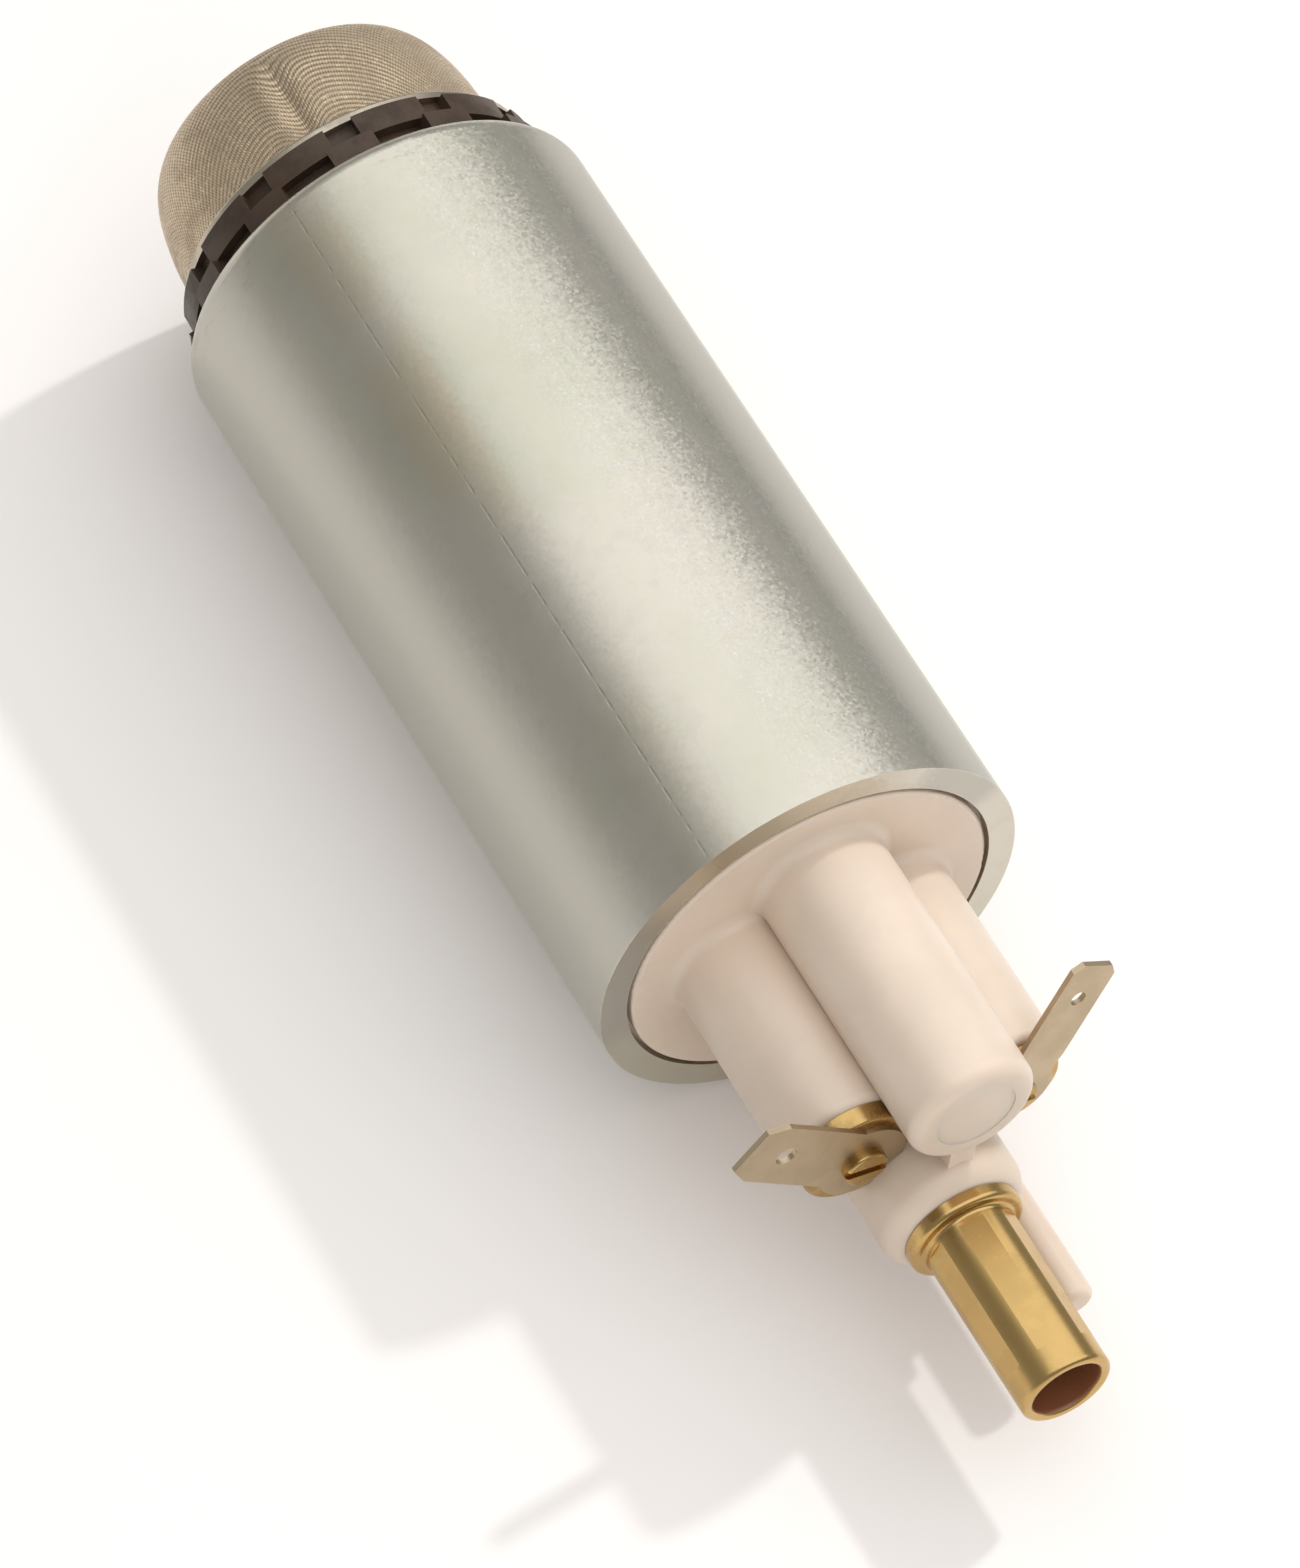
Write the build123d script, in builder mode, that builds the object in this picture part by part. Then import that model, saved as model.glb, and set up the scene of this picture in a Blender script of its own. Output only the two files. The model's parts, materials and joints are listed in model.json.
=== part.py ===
"""Fuel lift pump: an electric motor and a gear-rotor pump in one rolled steel casing.

The pump lies on its side. Its axis runs along +X towards the outlet, +Z points up from the
outlet to the relief valve tower, and the casing touches the ground plane Z = 0.
Distances named s run along the axis from a datum just inside the casing's outlet rim:
positive towards the outlet and negative towards the intake. Cross sections are drawn in
(Y, Z) measured from the pump's axis.
"""

import os
from math import atan2, cos, pi, radians, sin, sqrt, tan

from build123d import *

# Casing: a steel tube with both ends rolled in over what they hold
casing_od = 38.0
casing_wall = 1.2
casing_length = 74.4
casing_stand = 0.1
outlet_roll_r = 1.5
intake_roll_r = 1.5
outlet_lip = 2.4
intake_lip = 3.8

# Clearances
seat_gap = 0.05
running_gap = 0.05
guide_gap = 0.1
trim_gap = 0.15
cut_overrun = 1.0

# Outlet end cap: one moulding with four towers and a guide peg
cap_mouth_gap = 0.4
cap_face_rise = 0.25
cap_face_round = 0.3
cap_plate = 4.5
cap_flange = 2.0
cap_skirt_end = 9.0
cap_skirt_wall = 1.9
cap_groove_width = 2.0
cap_groove_depth = 1.45
seal_d = 1.41
tower_base_round = 1.0
web_thickness = 2.3
web_reach = 25.0
peg_d = 3.3
peg_reach = 35.3
peg_y = 6.5
peg_z = -10.25

# Outlet tower, its pressed brass nipple and the check valve inside
outlet_z = -6.4
outlet_tower_d = 12.7
outlet_tower_reach = 26.8
outlet_tower_round = 2.0
outlet_chamber_d = 8.0
outlet_seat_s = 3.0
outlet_seat_hole_d = 4.8
nipple_bore_d = 6.06
nipple_flange_d = 10.2
nipple_flange = 1.2
nipple_flange_round = 0.45
nipple_across_flats = 7.68
nipple_across_corners = 8.0
nipple_hex_turn = 42.0
nipple_reach = 43.9
nipple_neck = 0.7
nipple_root_round = 0.35
nipple_lip = 2.6
nipple_stem = 12.8
valve_head_d = 7.3
valve_head = 1.4
valve_stem_d = 2.4
valve_stem = 6.5
valve_notch_d = 1.8
valve_notch_count = 4
valve_spring_d = 7.2
valve_spring_wire = 0.5
valve_spring_turns = 6

# Relief valve tower, with its ball, spring and plug
relief_z = 7.45
relief_tower_d = 11.2
relief_tower_reach = 25.6
relief_tower_round = 1.3
relief_chamber_d = 7.0
relief_seat_s = 5.0
relief_seat_hole_d = 4.0
relief_ball_d = 5.6
relief_spring_d = 4.9
relief_spring_wire = 0.6
relief_spring_turns = 7
relief_plug = 3.0
relief_plug_sink = 0.08
relief_vent_d = 2.6
relief_vent_s = 14.0

# Brush towers, brushes and what closes them
brush_y = 7.1
brush_tower_d = 10.8
brush_tower_reach = 19.6
brush_tower_round = 0.8
brush_sleeve_end = 7.8
brush_sleeve_d = 10.0
brush_radial = 4.2
brush_tangential = 6.0
brush_length = 13.0
brush_round = 0.3
brush_spring_d = 3.7
brush_spring_wire = 0.45
brush_spring_turns = 8
brush_cap_round = 0.3
brush_spigot_d = 6.6
brush_spigot = 2.0

# Terminals: a 6.3 mm and a 4.8 mm blade on round lugs, each held by a slotted screw
terminal_thickness = 0.5
wide_cap_d = 10.0
wide_cap = 1.6
wide_lug_r = 3.9
wide_blade = 6.3
wide_blade_reach = 13.6
wide_blade_angle = 144.0
wide_tip_taper = 1.9
wide_tip_chamfer = 0.9
wide_hole_d = 1.9
wide_hole_reach = 9.4
wide_bend = 0.0
narrow_cap_d = 9.2
narrow_cap = 0.8
narrow_lug_r = 3.6
narrow_blade = 4.6
narrow_blade_reach = 14.1
narrow_blade_angle = 62.5
narrow_tip_taper = 0.8
narrow_tip_chamfer = 0.75
narrow_hole_d = 1.4
narrow_hole_reach = 10.6
narrow_bend = 6.0
screw_head_d = 3.8
screw_head = 0.9
screw_head_round = 0.25
screw_slot = 0.8
screw_slot_depth = 0.5
screw_slot_turn = -6.0
screw_shank_d = 2.6
screw_end_gap = 0.2

# Bearings, shaft and armature
shaft_d = 4.0
shaft_outlet_end = 2.5
shaft_flat_depth = 0.6
shaft_end_gap = 0.3
shaft_chamfer = 0.3
bearing_od = 7.0
bearing_length = 4.5
upper_bearing_start = 2.4
bearing_boss_end = 7.0
bearing_boss_wall = 1.4
bearing_shelf = 0.1
washer_od = 6.8
washer_thickness = 0.5
commutator_face = 9.5
commutator_inset = 1.8
commutator_inner_r = 3.8
segment_thickness = 1.6
segment_count = 10
segment_slit = 0.5
hub_thickness = 2.5
hub_nose_r = 3.3
nose_clearance = 0.5
air_gap = 0.7
core_start = 18.6
winding_end_gap = 3.2
slot_count = 10
slot_cover = 1.1
core_hub_share = 0.5
slot_share = 0.784
slot_mouth_share = 0.45
winding_gap = 0.15
end_turn = 4.2
end_turn_inset = 2.2
end_turn_round = 1.6
slot_overlap = 0.5

# Field: a flux sleeve, two ceramic magnets and the clips that spread them
sleeve_wall = 1.25
magnet_thickness = 2.95
magnet_span = 126.0
magnet_start = 15.6
magnet_end_gap = 4.4
magnet_edge_round = 0.5
clip_thickness = 0.6
clip_leg = 2.2
clip_side_gap = 1.0
clip_leg_inset = 1.0
clip_inset = 7.0

# Pumping section: plates, rotor housing and a pair of rotors with seven teeth and six lobes
port_plate = 4.0
rotor_width = 6.0
inlet_plate = 4.0
rotor_side_gap = 0.05
housing_wall = 4.5
tooth_count = 7
tooth_share = 0.24
offset_share = 0.099
rotor_rim = 0.35
rotor_root_gap = 0.35
rotor_mesh_gap = 0.15
lobe_points = 10
port_width = 2.8
port_span = 110.0
shaft_recess_depth = 1.5
lower_bearing_stand = 0.7

# Inlet body: a castellated black moulding that carries the strainer
inlet_flange = 3.05
inlet_wall = 4.8
castle_core_inset = 3.2
castle_root = 0.5
castle_lower_inset = 1.5
castle_upper_inset = 2.1
castle_lower = 1.8
castle_upper = 2.4
castle_gap = 0.3
castle_count = 12
castle_turn = 13.0
castle_lower_width = 14.0
castle_upper_width = 21.0
spigot_length = 2.4

# Strainer: a cup of woven wire cloth in a bright rolled rim
strainer_inset = 1.6
strainer_draft = 0.3
strainer_wall = 0.5
strainer_length = 13.6
strainer_straight = 3.4
strainer_crown_inset = 3.7
strainer_dome = 0.4
strainer_shoulder_pull = 1.3
strainer_crown_pull = 0.9
rim_inset = 0.4
rim_height = 0.9
rim_round = 0.3

# Places that follow from the sizes above
casing_r = casing_od / 2
casing_bore_r = casing_r - casing_wall
casing_end = casing_stand - casing_length
outlet_mouth_r = casing_r - outlet_lip
intake_mouth_r = casing_r - intake_lip
outlet_inner_roll = outlet_roll_r - casing_wall
intake_inner_roll = intake_roll_r - casing_wall
seated_r = casing_bore_r - seat_gap
cap_face_r = outlet_mouth_r - cap_mouth_gap
cap_shoulder = casing_stand - casing_wall - seat_gap
flange_s = casing_end + casing_wall
flange_start = flange_s + seat_gap + inlet_flange
inlet_plate_s = flange_start + inlet_plate
plate_start = -(inlet_plate_s + rotor_width + port_plate)
castle_core_r = casing_r - castle_core_inset
castle_lower_r = casing_r - castle_lower_inset
castle_upper_r = casing_r - castle_upper_inset
inlet_duct_r = castle_core_r - inlet_wall
castle_s = casing_end - castle_gap
castle_split = castle_s - castle_lower
castle_top = castle_split - castle_upper
strainer_r = castle_upper_r - strainer_inset
strainer_shoulder_r = strainer_r - strainer_draft
strainer_end_r = strainer_r - strainer_crown_inset
strainer_end = castle_top - strainer_length
rim_r = castle_upper_r - rim_inset
rim_x = (-strainer_end - nipple_reach) / 2
axis_z = casing_r
magnet_outer_r = seated_r - sleeve_wall - seat_gap
magnet_inner_r = magnet_outer_r - magnet_thickness
magnet_length = plate_start - magnet_start - magnet_end_gap
clip_length = magnet_length - 2 * clip_inset
core_r = magnet_inner_r - air_gap
core_length = plate_start - core_start - end_turn - winding_end_gap
commutator_r = core_r - commutator_inset
slot_top_r = core_r - slot_cover
slot_bottom_r = core_r * core_hub_share
slot_width = 2 * slot_bottom_r * sin(pi / slot_count) * slot_share
slot_mouth = slot_width * slot_mouth_share
end_turn_inner_r = slot_bottom_r - end_turn_inset
brush_end = -commutator_face + guide_gap
brush_back = brush_end + brush_length
cap_spigot_end = brush_tower_reach - brush_spigot
tooth_room = seated_r - housing_wall - running_gap - rotor_rim
tooth_centre_r = tooth_room / (1 + tooth_share + offset_share)
tooth_r = tooth_centre_r * tooth_share
rotor_offset = tooth_centre_r * offset_share
outer_rotor_r = tooth_centre_r + tooth_r + rotor_rim

pump_axis = Axis((0, 0, axis_z), (1, 0, 0))
side = Plane(origin=(rim_x, 0, axis_z), x_dir=(1, 0, 0), z_dir=(0, -1, 0))


def across(s):
    """The plane across the pump's axis at station s, with local axes Y and Z."""
    return Plane(origin=(rim_x + s, 0, axis_z), x_dir=(0, 1, 0), z_dir=(1, 0, 0))


def lengthwise(y, z):
    """The plane that holds a line parallel to the pump's axis, with s as its first axis."""
    return Plane(origin=(rim_x, y, axis_z + z), x_dir=(1, 0, 0), z_dir=(0, -1, 0))


def own_axis(y, z):
    """The line parallel to the pump's axis through (y, z) of the cross section."""
    return Axis((0, y, axis_z + z), (1, 0, 0))


def ring(s_from, s_to, r_in, r_out):
    """A plain ring or washer about the pump's axis."""
    with BuildSketch(across(s_from)) as section:
        Circle(r_out)
        Circle(r_in, mode=Mode.SUBTRACT)
    extrude(section.sketch, amount=s_to - s_from)


def disc(s_from, s_to, r, y=0.0, z=0.0, mode=Mode.ADD):
    """A round stretch parallel to the pump's axis."""
    with BuildSketch(across(s_from)) as section:
        with Locations((y, z)):
            Circle(r)
    extrude(section.sketch, amount=s_to - s_from, mode=mode)


def tower(y, z, r, reach, end_round):
    """A moulded tower on the cap's face, flared at its foot and rounded at its end."""
    foot = tower_base_round
    with BuildSketch(lengthwise(y, z)) as half_section:
        with BuildLine():
            Polyline((-cap_plate / 2, 0), (-cap_plate / 2, r + foot), (cap_face_rise, r + foot))
            CenterArc((cap_face_rise + foot, r + foot), foot, 180, 90)
            Line((cap_face_rise + foot, r), (reach - end_round, r))
            CenterArc((reach - end_round, r - end_round), end_round, 90, -90)
            Polyline((reach, r - end_round), (reach, 0), (-cap_plate / 2, 0))
        make_face()
    revolve(half_section.sketch, axis=own_axis(y, z))


def coil(s_from, s_to, y, z, outer_d, wire, turns):
    """A helical compression spring parallel to the pump's axis, with a six-sided wire."""
    mean_r = (outer_d - wire) / 2
    height = s_to - s_from - wire
    start = Vector(rim_x + s_from + wire / 2, y, axis_z + z)
    with BuildLine() as path:
        Helix(height / turns, height, mean_r, center=start, direction=(1, 0, 0))
    with BuildSketch(Plane(origin=path.line @ 0, z_dir=path.line % 0)) as section:
        RegularPolygon(wire / 2, 6)
    sweep(section.sketch, path=path.line, is_frenet=True)


def blade_outline(lug_r, width, reach, taper, chamfer, hole_d, hole_reach):
    """Plan of a terminal about its screw: a round lug, a straight blade and a chamfered tip."""
    half = width / 2
    Circle(lug_r)
    with BuildLine() as edge:
        Polyline(
            (0, -half),
            (reach - taper, -half),
            (reach, -half + chamfer),
            (reach, half - chamfer),
            (reach - taper, half),
            (0, half),
            close=True,
        )
    make_face(edge.line.edges())
    with Locations((hole_reach, 0)):
        Circle(hole_d / 2, mode=Mode.SUBTRACT)
    Circle(screw_shank_d / 2 + guide_gap, mode=Mode.SUBTRACT)


def tower_clearance(s_from, s_to):
    """Takes away what would run into the relief and outlet towers beside a brush tower."""
    disc(s_from, s_to, relief_tower_d / 2 + trim_gap, z=relief_z, mode=Mode.SUBTRACT)
    disc(s_from, s_to, outlet_tower_d / 2 + trim_gap, z=outlet_z, mode=Mode.SUBTRACT)


def finish(piece, name):
    """Labels a finished piece and writes it to its own file."""
    piece.part.label = name
    export_step(piece.part, f"parts/{name}.step")


os.makedirs("parts", exist_ok=True)


# Casing
with BuildPart() as casing:
    with BuildSketch(side):
        with BuildLine():
            Polyline(
                (casing_stand, outlet_mouth_r),
                (casing_stand, casing_r),
                (casing_end, casing_r),
                (casing_end, intake_mouth_r),
                (casing_end + casing_wall, intake_mouth_r),
                (casing_end + casing_wall, casing_bore_r),
                (casing_stand - casing_wall, casing_bore_r),
                (casing_stand - casing_wall, outlet_mouth_r),
                close=True,
            )
        make_face()
        outer_corners, inner_corners = vertices().group_by(Axis.Y)[:-3:-1]
        fillet(outer_corners.sort_by(Axis.X)[0], intake_roll_r)
        fillet(outer_corners.sort_by(Axis.X)[-1], outlet_roll_r)
        fillet(inner_corners.sort_by(Axis.X)[0], intake_inner_roll)
        fillet(inner_corners.sort_by(Axis.X)[-1], outlet_inner_roll)
    revolve(axis=pump_axis)
finish(casing, "casing")


# Outlet end cap
with BuildPart() as outlet_end_cap:
    groove_s = cap_shoulder - cap_flange
    with BuildSketch(side):
        with BuildLine():
            Polyline(
                (cap_face_rise, 0),
                (cap_face_rise, cap_face_r),
                (cap_shoulder, cap_face_r),
                (cap_shoulder, seated_r - outlet_inner_roll),
                (cap_shoulder - outlet_inner_roll, seated_r),
                (groove_s, seated_r),
                (groove_s, casing_bore_r - cap_groove_depth),
                (groove_s - cap_groove_width, casing_bore_r - cap_groove_depth),
                (groove_s - cap_groove_width, seated_r),
                (-cap_skirt_end, seated_r),
                (-cap_skirt_end, casing_bore_r - cap_groove_depth - cap_skirt_wall),
                (-cap_plate, casing_bore_r - cap_groove_depth - cap_skirt_wall),
                (-cap_plate, 0),
                close=True,
            )
        make_face()
    revolve(axis=pump_axis)
    face_rim = edges().filter_by(GeomType.CIRCLE).sort_by(Axis.X)[-1]
    fillet(face_rim, cap_face_round)

    disc(-cap_plate, -bearing_boss_end, bearing_od / 2 + bearing_boss_wall)
    for y in (-brush_y, brush_y):
        disc(-cap_plate, -brush_sleeve_end, brush_sleeve_d / 2, y=y)
        tower(y, 0, brush_tower_d / 2, brush_tower_reach, brush_tower_round)
    disc(-bearing_boss_end, -brush_sleeve_end, washer_od / 2 + nose_clearance, mode=Mode.SUBTRACT)
    tower(0, relief_z, relief_tower_d / 2, relief_tower_reach, relief_tower_round)
    tower(0, outlet_z, outlet_tower_d / 2, outlet_tower_reach, outlet_tower_round)
    tower(peg_y, peg_z, peg_d / 2, peg_reach, peg_d / 4)
    with BuildSketch(across(cap_shoulder)):
        Circle(casing_r)
        Circle(cap_face_r, mode=Mode.SUBTRACT)
    extrude(amount=casing_stand + trim_gap - cap_shoulder, mode=Mode.SUBTRACT)
    with BuildSketch(across(0)):
        with Locations((0, (relief_z + outlet_z) / 2)):
            Rectangle(web_thickness, relief_z - outlet_z)
    extrude(amount=web_reach)

    disc(-bearing_boss_end, -upper_bearing_start + bearing_shelf, bearing_od / 2,
         mode=Mode.SUBTRACT)
    disc(outlet_seat_s, outlet_tower_reach, outlet_chamber_d / 2, z=outlet_z, mode=Mode.SUBTRACT)
    disc(-cap_plate, outlet_seat_s, outlet_seat_hole_d / 2, z=outlet_z, mode=Mode.SUBTRACT)
    disc(relief_seat_s, relief_tower_reach, relief_chamber_d / 2, z=relief_z, mode=Mode.SUBTRACT)
    disc(-cap_plate, relief_seat_s, relief_seat_hole_d / 2, z=relief_z, mode=Mode.SUBTRACT)
    with BuildSketch(Plane(origin=(rim_x + relief_vent_s, 0, axis_z + relief_z),
                           x_dir=(1, 0, 0), z_dir=(0, 1, 0))):
        Circle(relief_vent_d / 2)
    extrude(amount=relief_tower_d, mode=Mode.SUBTRACT)
    for y in (-brush_y, brush_y):
        with BuildSketch(across(-brush_sleeve_end)):
            with Locations((y, 0)):
                Rectangle(brush_radial + 2 * guide_gap, brush_tangential + 2 * guide_gap)
        extrude(amount=brush_sleeve_end + brush_tower_reach, mode=Mode.SUBTRACT)
        disc(cap_spigot_end, brush_tower_reach, brush_spigot_d / 2, y=y, mode=Mode.SUBTRACT)
finish(outlet_end_cap, "outlet_end_cap")


# Seal between the cap and the casing
with BuildPart() as cap_seal:
    with BuildSketch(side):
        with Locations((groove_s - cap_groove_width / 2, casing_bore_r - cap_groove_depth / 2)):
            Circle(seal_d / 2)
    revolve(axis=pump_axis)
finish(cap_seal, "cap_seal")


# Outlet nipple: a brass tube with a collar, a six-sided stretch and a rounded lip
hex_start = outlet_tower_reach + nipple_flange + nipple_neck
with BuildPart() as outlet_nipple:
    stem_s = outlet_tower_reach - nipple_stem
    lip_r = nipple_across_corners / 2
    bead = (lip_r - nipple_bore_d / 2) / 2
    collar_s = outlet_tower_reach + nipple_flange
    with BuildSketch(lengthwise(0, outlet_z)):
        with BuildLine():
            Polyline(
                (stem_s, nipple_bore_d / 2),
                (stem_s, outlet_chamber_d / 2),
                (outlet_tower_reach, outlet_chamber_d / 2),
                (outlet_tower_reach, nipple_flange_d / 2),
                (collar_s, nipple_flange_d / 2),
                (collar_s, lip_r),
                (nipple_reach - bead, lip_r),
            )
            CenterArc((nipple_reach - bead, lip_r - bead), bead, 90, -180)
            Line((nipple_reach - bead, nipple_bore_d / 2), (stem_s, nipple_bore_d / 2))
        make_face()
        collar_rim = vertices().group_by(Axis.Y)[-1].sort_by(Axis.X)[-1]
        fillet(collar_rim, nipple_flange_round)
        collar_root = vertices().sort_by_distance((collar_s, lip_r))[0]
        fillet(collar_root, nipple_root_round)
    revolve(axis=own_axis(0, outlet_z))
    with BuildSketch(across(hex_start)):
        with Locations(Location((0, outlet_z), nipple_hex_turn)):
            Circle(nipple_flange_d / 2)
            RegularPolygon(nipple_across_flats / 2, 6, major_radius=False, rotation=30,
                           mode=Mode.SUBTRACT)
    extrude(amount=nipple_reach - nipple_lip - hex_start, mode=Mode.SUBTRACT)
finish(outlet_nipple, "outlet_nipple")


# Check valve: a flat poppet with flow notches and a stem that centres its spring
with BuildPart() as check_valve:
    with BuildSketch(across(outlet_seat_s + seat_gap)):
        with Locations((0, outlet_z)):
            Circle(valve_head_d / 2)
            with PolarLocations(valve_head_d / 2, valve_notch_count, start_angle=45):
                Circle(valve_notch_d / 2, mode=Mode.SUBTRACT)
    extrude(amount=valve_head)
    disc(outlet_seat_s + seat_gap, outlet_seat_s + valve_head + valve_stem, valve_stem_d / 2,
         z=outlet_z)
finish(check_valve, "check_valve")

with BuildPart() as check_valve_spring:
    coil(outlet_seat_s + 2 * seat_gap + valve_head, stem_s, 0, outlet_z,
         valve_spring_d, valve_spring_wire, valve_spring_turns)
finish(check_valve_spring, "check_valve_spring")


# Relief valve: ball on its seat, spring, and a plug welded flush into the tower's end
ball_lift = sqrt((relief_ball_d / 2) ** 2 - (relief_seat_hole_d / 2) ** 2)
ball_s = relief_seat_s + ball_lift + seat_gap
with BuildPart() as relief_ball:
    with Locations((rim_x + ball_s, 0, axis_z + relief_z)):
        Sphere(relief_ball_d / 2)
finish(relief_ball, "relief_ball")

plug_s = relief_tower_reach - relief_plug
with BuildPart() as relief_spring:
    coil_inner_r = relief_spring_d / 2 - relief_spring_wire
    ball_top = ball_s + sqrt((relief_ball_d / 2) ** 2 - coil_inner_r ** 2)
    coil(ball_top + seat_gap, plug_s, 0, relief_z, relief_spring_d, relief_spring_wire,
         relief_spring_turns)
finish(relief_spring, "relief_spring")

with BuildPart() as relief_plug_disc:
    disc(plug_s, relief_tower_reach - relief_plug_sink, relief_chamber_d / 2, z=relief_z)
finish(relief_plug_disc, "relief_plug")


# Brushes with their springs and screwed brass caps
brush_sides = (
    ("left", -brush_y, wide_cap_d, wide_cap),
    ("right", brush_y, narrow_cap_d, narrow_cap),
)
for name, y, cap_d, cap_thickness in brush_sides:
    with BuildPart() as brush:
        with BuildSketch(across(brush_end)):
            with Locations((y, 0)):
                RectangleRounded(brush_radial, brush_tangential, brush_round)
        extrude(amount=brush_length)
    finish(brush, f"brush_{name}")

    with BuildPart() as brush_spring:
        coil(brush_back + seat_gap, cap_spigot_end, y, 0, brush_spring_d, brush_spring_wire,
             brush_spring_turns)
    finish(brush_spring, f"brush_spring_{name}")

    with BuildPart() as brush_cap_piece:
        terminal_s = brush_tower_reach + cap_thickness
        disc(brush_tower_reach, terminal_s, cap_d / 2, y=y)
        fillet(edges().filter_by(GeomType.CIRCLE).sort_by(Axis.X)[-1], brush_cap_round)
        disc(cap_spigot_end, brush_tower_reach, brush_spigot_d / 2, y=y)
        tower_clearance(brush_tower_reach, terminal_s)
        disc(cap_spigot_end, terminal_s, screw_shank_d / 2, y=y, mode=Mode.SUBTRACT)
    finish(brush_cap_piece, f"brush_cap_{name}")


# Terminals
wide_plan = (wide_lug_r, wide_blade, wide_blade_reach, wide_tip_taper, wide_tip_chamfer,
             wide_hole_d, wide_hole_reach)
narrow_plan = (narrow_lug_r, narrow_blade, narrow_blade_reach, narrow_tip_taper,
               narrow_tip_chamfer, narrow_hole_d, narrow_hole_reach)
terminals = (
    ("wide", -brush_y, wide_cap_d, wide_cap, wide_blade_angle, wide_bend, wide_plan),
    ("narrow", brush_y, narrow_cap_d, narrow_cap, narrow_blade_angle, narrow_bend, narrow_plan),
)
for name, y, cap_d, cap_thickness, angle, bend, plan_sizes in terminals:
    terminal_s = brush_tower_reach + cap_thickness
    bend_reach = cap_d / 2 + guide_gap
    lug_r = plan_sizes[0]
    reach = plan_sizes[2]
    out = (0, cos(radians(angle)), sin(radians(angle)))
    plan = Plane(origin=(rim_x + terminal_s, y, axis_z), x_dir=out, z_dir=(1, 0, 0))
    edge_on = Plane(origin=(rim_x + terminal_s, y, axis_z), x_dir=out,
                    z_dir=(0, sin(radians(angle)), -cos(radians(angle))))
    drop = (reach - bend_reach) * tan(radians(bend))
    with BuildPart() as terminal:
        with BuildSketch(edge_on):
            with BuildLine():
                Polyline(
                    (-lug_r, 0),
                    (bend_reach, 0),
                    (reach, -drop),
                    (reach, terminal_thickness - drop),
                    (bend_reach, terminal_thickness),
                    (-lug_r, terminal_thickness),
                    close=True,
                )
            make_face()
        extrude(amount=lug_r, both=True)
        with BuildSketch(plan.offset(-drop)):
            blade_outline(*plan_sizes)
        extrude(amount=drop + terminal_thickness, mode=Mode.INTERSECT)
        tower_clearance(terminal_s - drop, terminal_s + terminal_thickness)
    finish(terminal, f"terminal_{name}")


# Slotted screws, one through each terminal into its brush cap
with BuildPart() as terminal_screws:
    for name, y, cap_d, cap_thickness in brush_sides:
        head_s = brush_tower_reach + cap_thickness + terminal_thickness
        disc(head_s, head_s + screw_head, screw_head_d / 2, y=y)
        head_rims = edges().filter_by(GeomType.CIRCLE).filter_by_position(
            Axis.X, rim_x + head_s + screw_head - seat_gap, rim_x + head_s + screw_head + seat_gap)
        fillet(head_rims, screw_head_round)
        disc(cap_spigot_end + screw_end_gap, head_s, screw_shank_d / 2, y=y)
        with BuildSketch(across(head_s + screw_head - screw_slot_depth)):
            with Locations(Location((y, 0), screw_slot_turn)):
                Rectangle(screw_head_d + cut_overrun, screw_slot)
        extrude(amount=screw_slot_depth, mode=Mode.SUBTRACT)
finish(terminal_screws, "terminal_screws")


# Upper bearing, pressed into the cap's boss
with BuildPart() as upper_bearing:
    ring(-upper_bearing_start - bearing_length, -upper_bearing_start,
         shaft_d / 2 + running_gap, bearing_od / 2)
finish(upper_bearing, "upper_bearing")


# Flux sleeve, which also spaces the cap from the pumping section
with BuildPart() as flux_sleeve:
    ring(-plate_start, -cap_skirt_end, seated_r - sleeve_wall, seated_r)
finish(flux_sleeve, "flux_sleeve")


# Magnets: two ceramic arcs above and below the armature
for name, turn in (("upper", 90), ("lower", -90)):
    with BuildPart() as magnet:
        with BuildSketch(across(-magnet_start - magnet_length)):
            with BuildLine():
                CenterArc((0, 0), magnet_outer_r, turn - magnet_span / 2, magnet_span)
                CenterArc((0, 0), magnet_inner_r, turn - magnet_span / 2, magnet_span)
                for end in (turn - magnet_span / 2, turn + magnet_span / 2):
                    ray = Vector(cos(radians(end)), sin(radians(end)))
                    Line(ray * magnet_inner_r, ray * magnet_outer_r)
            make_face()
            fillet(vertices(), magnet_edge_round)
        extrude(amount=magnet_length)
    finish(magnet, f"magnet_{name}")


# Magnet clips: sprung channels in the two gaps between the magnets
clip_half = (180 - magnet_span) / 2 - clip_side_gap
clip_outer_r = magnet_outer_r
with BuildPart() as magnet_clips:
    for turn in (0, 180):
        with BuildSketch(across(-magnet_start - (magnet_length + clip_length) / 2)):
            with BuildLine():
                for r in (clip_outer_r, clip_outer_r - clip_thickness):
                    CenterArc((0, 0), r, turn - clip_half, 2 * clip_half)
                for end in (turn - clip_half, turn + clip_half):
                    ray = Vector(cos(radians(end)), sin(radians(end)))
                    Line(ray * (clip_outer_r - clip_thickness), ray * clip_outer_r)
            make_face()
            for end in (-1, 1):
                leg_turn = turn + end * (clip_half - clip_leg_inset)
                leg_at = Location((0, 0), leg_turn)
                with Locations(leg_at):
                    with Locations((clip_outer_r - clip_leg / 2 - clip_thickness / 2, 0)):
                        Rectangle(clip_leg, clip_thickness)
        extrude(amount=clip_length)
finish(magnet_clips, "magnet_clips")


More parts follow.
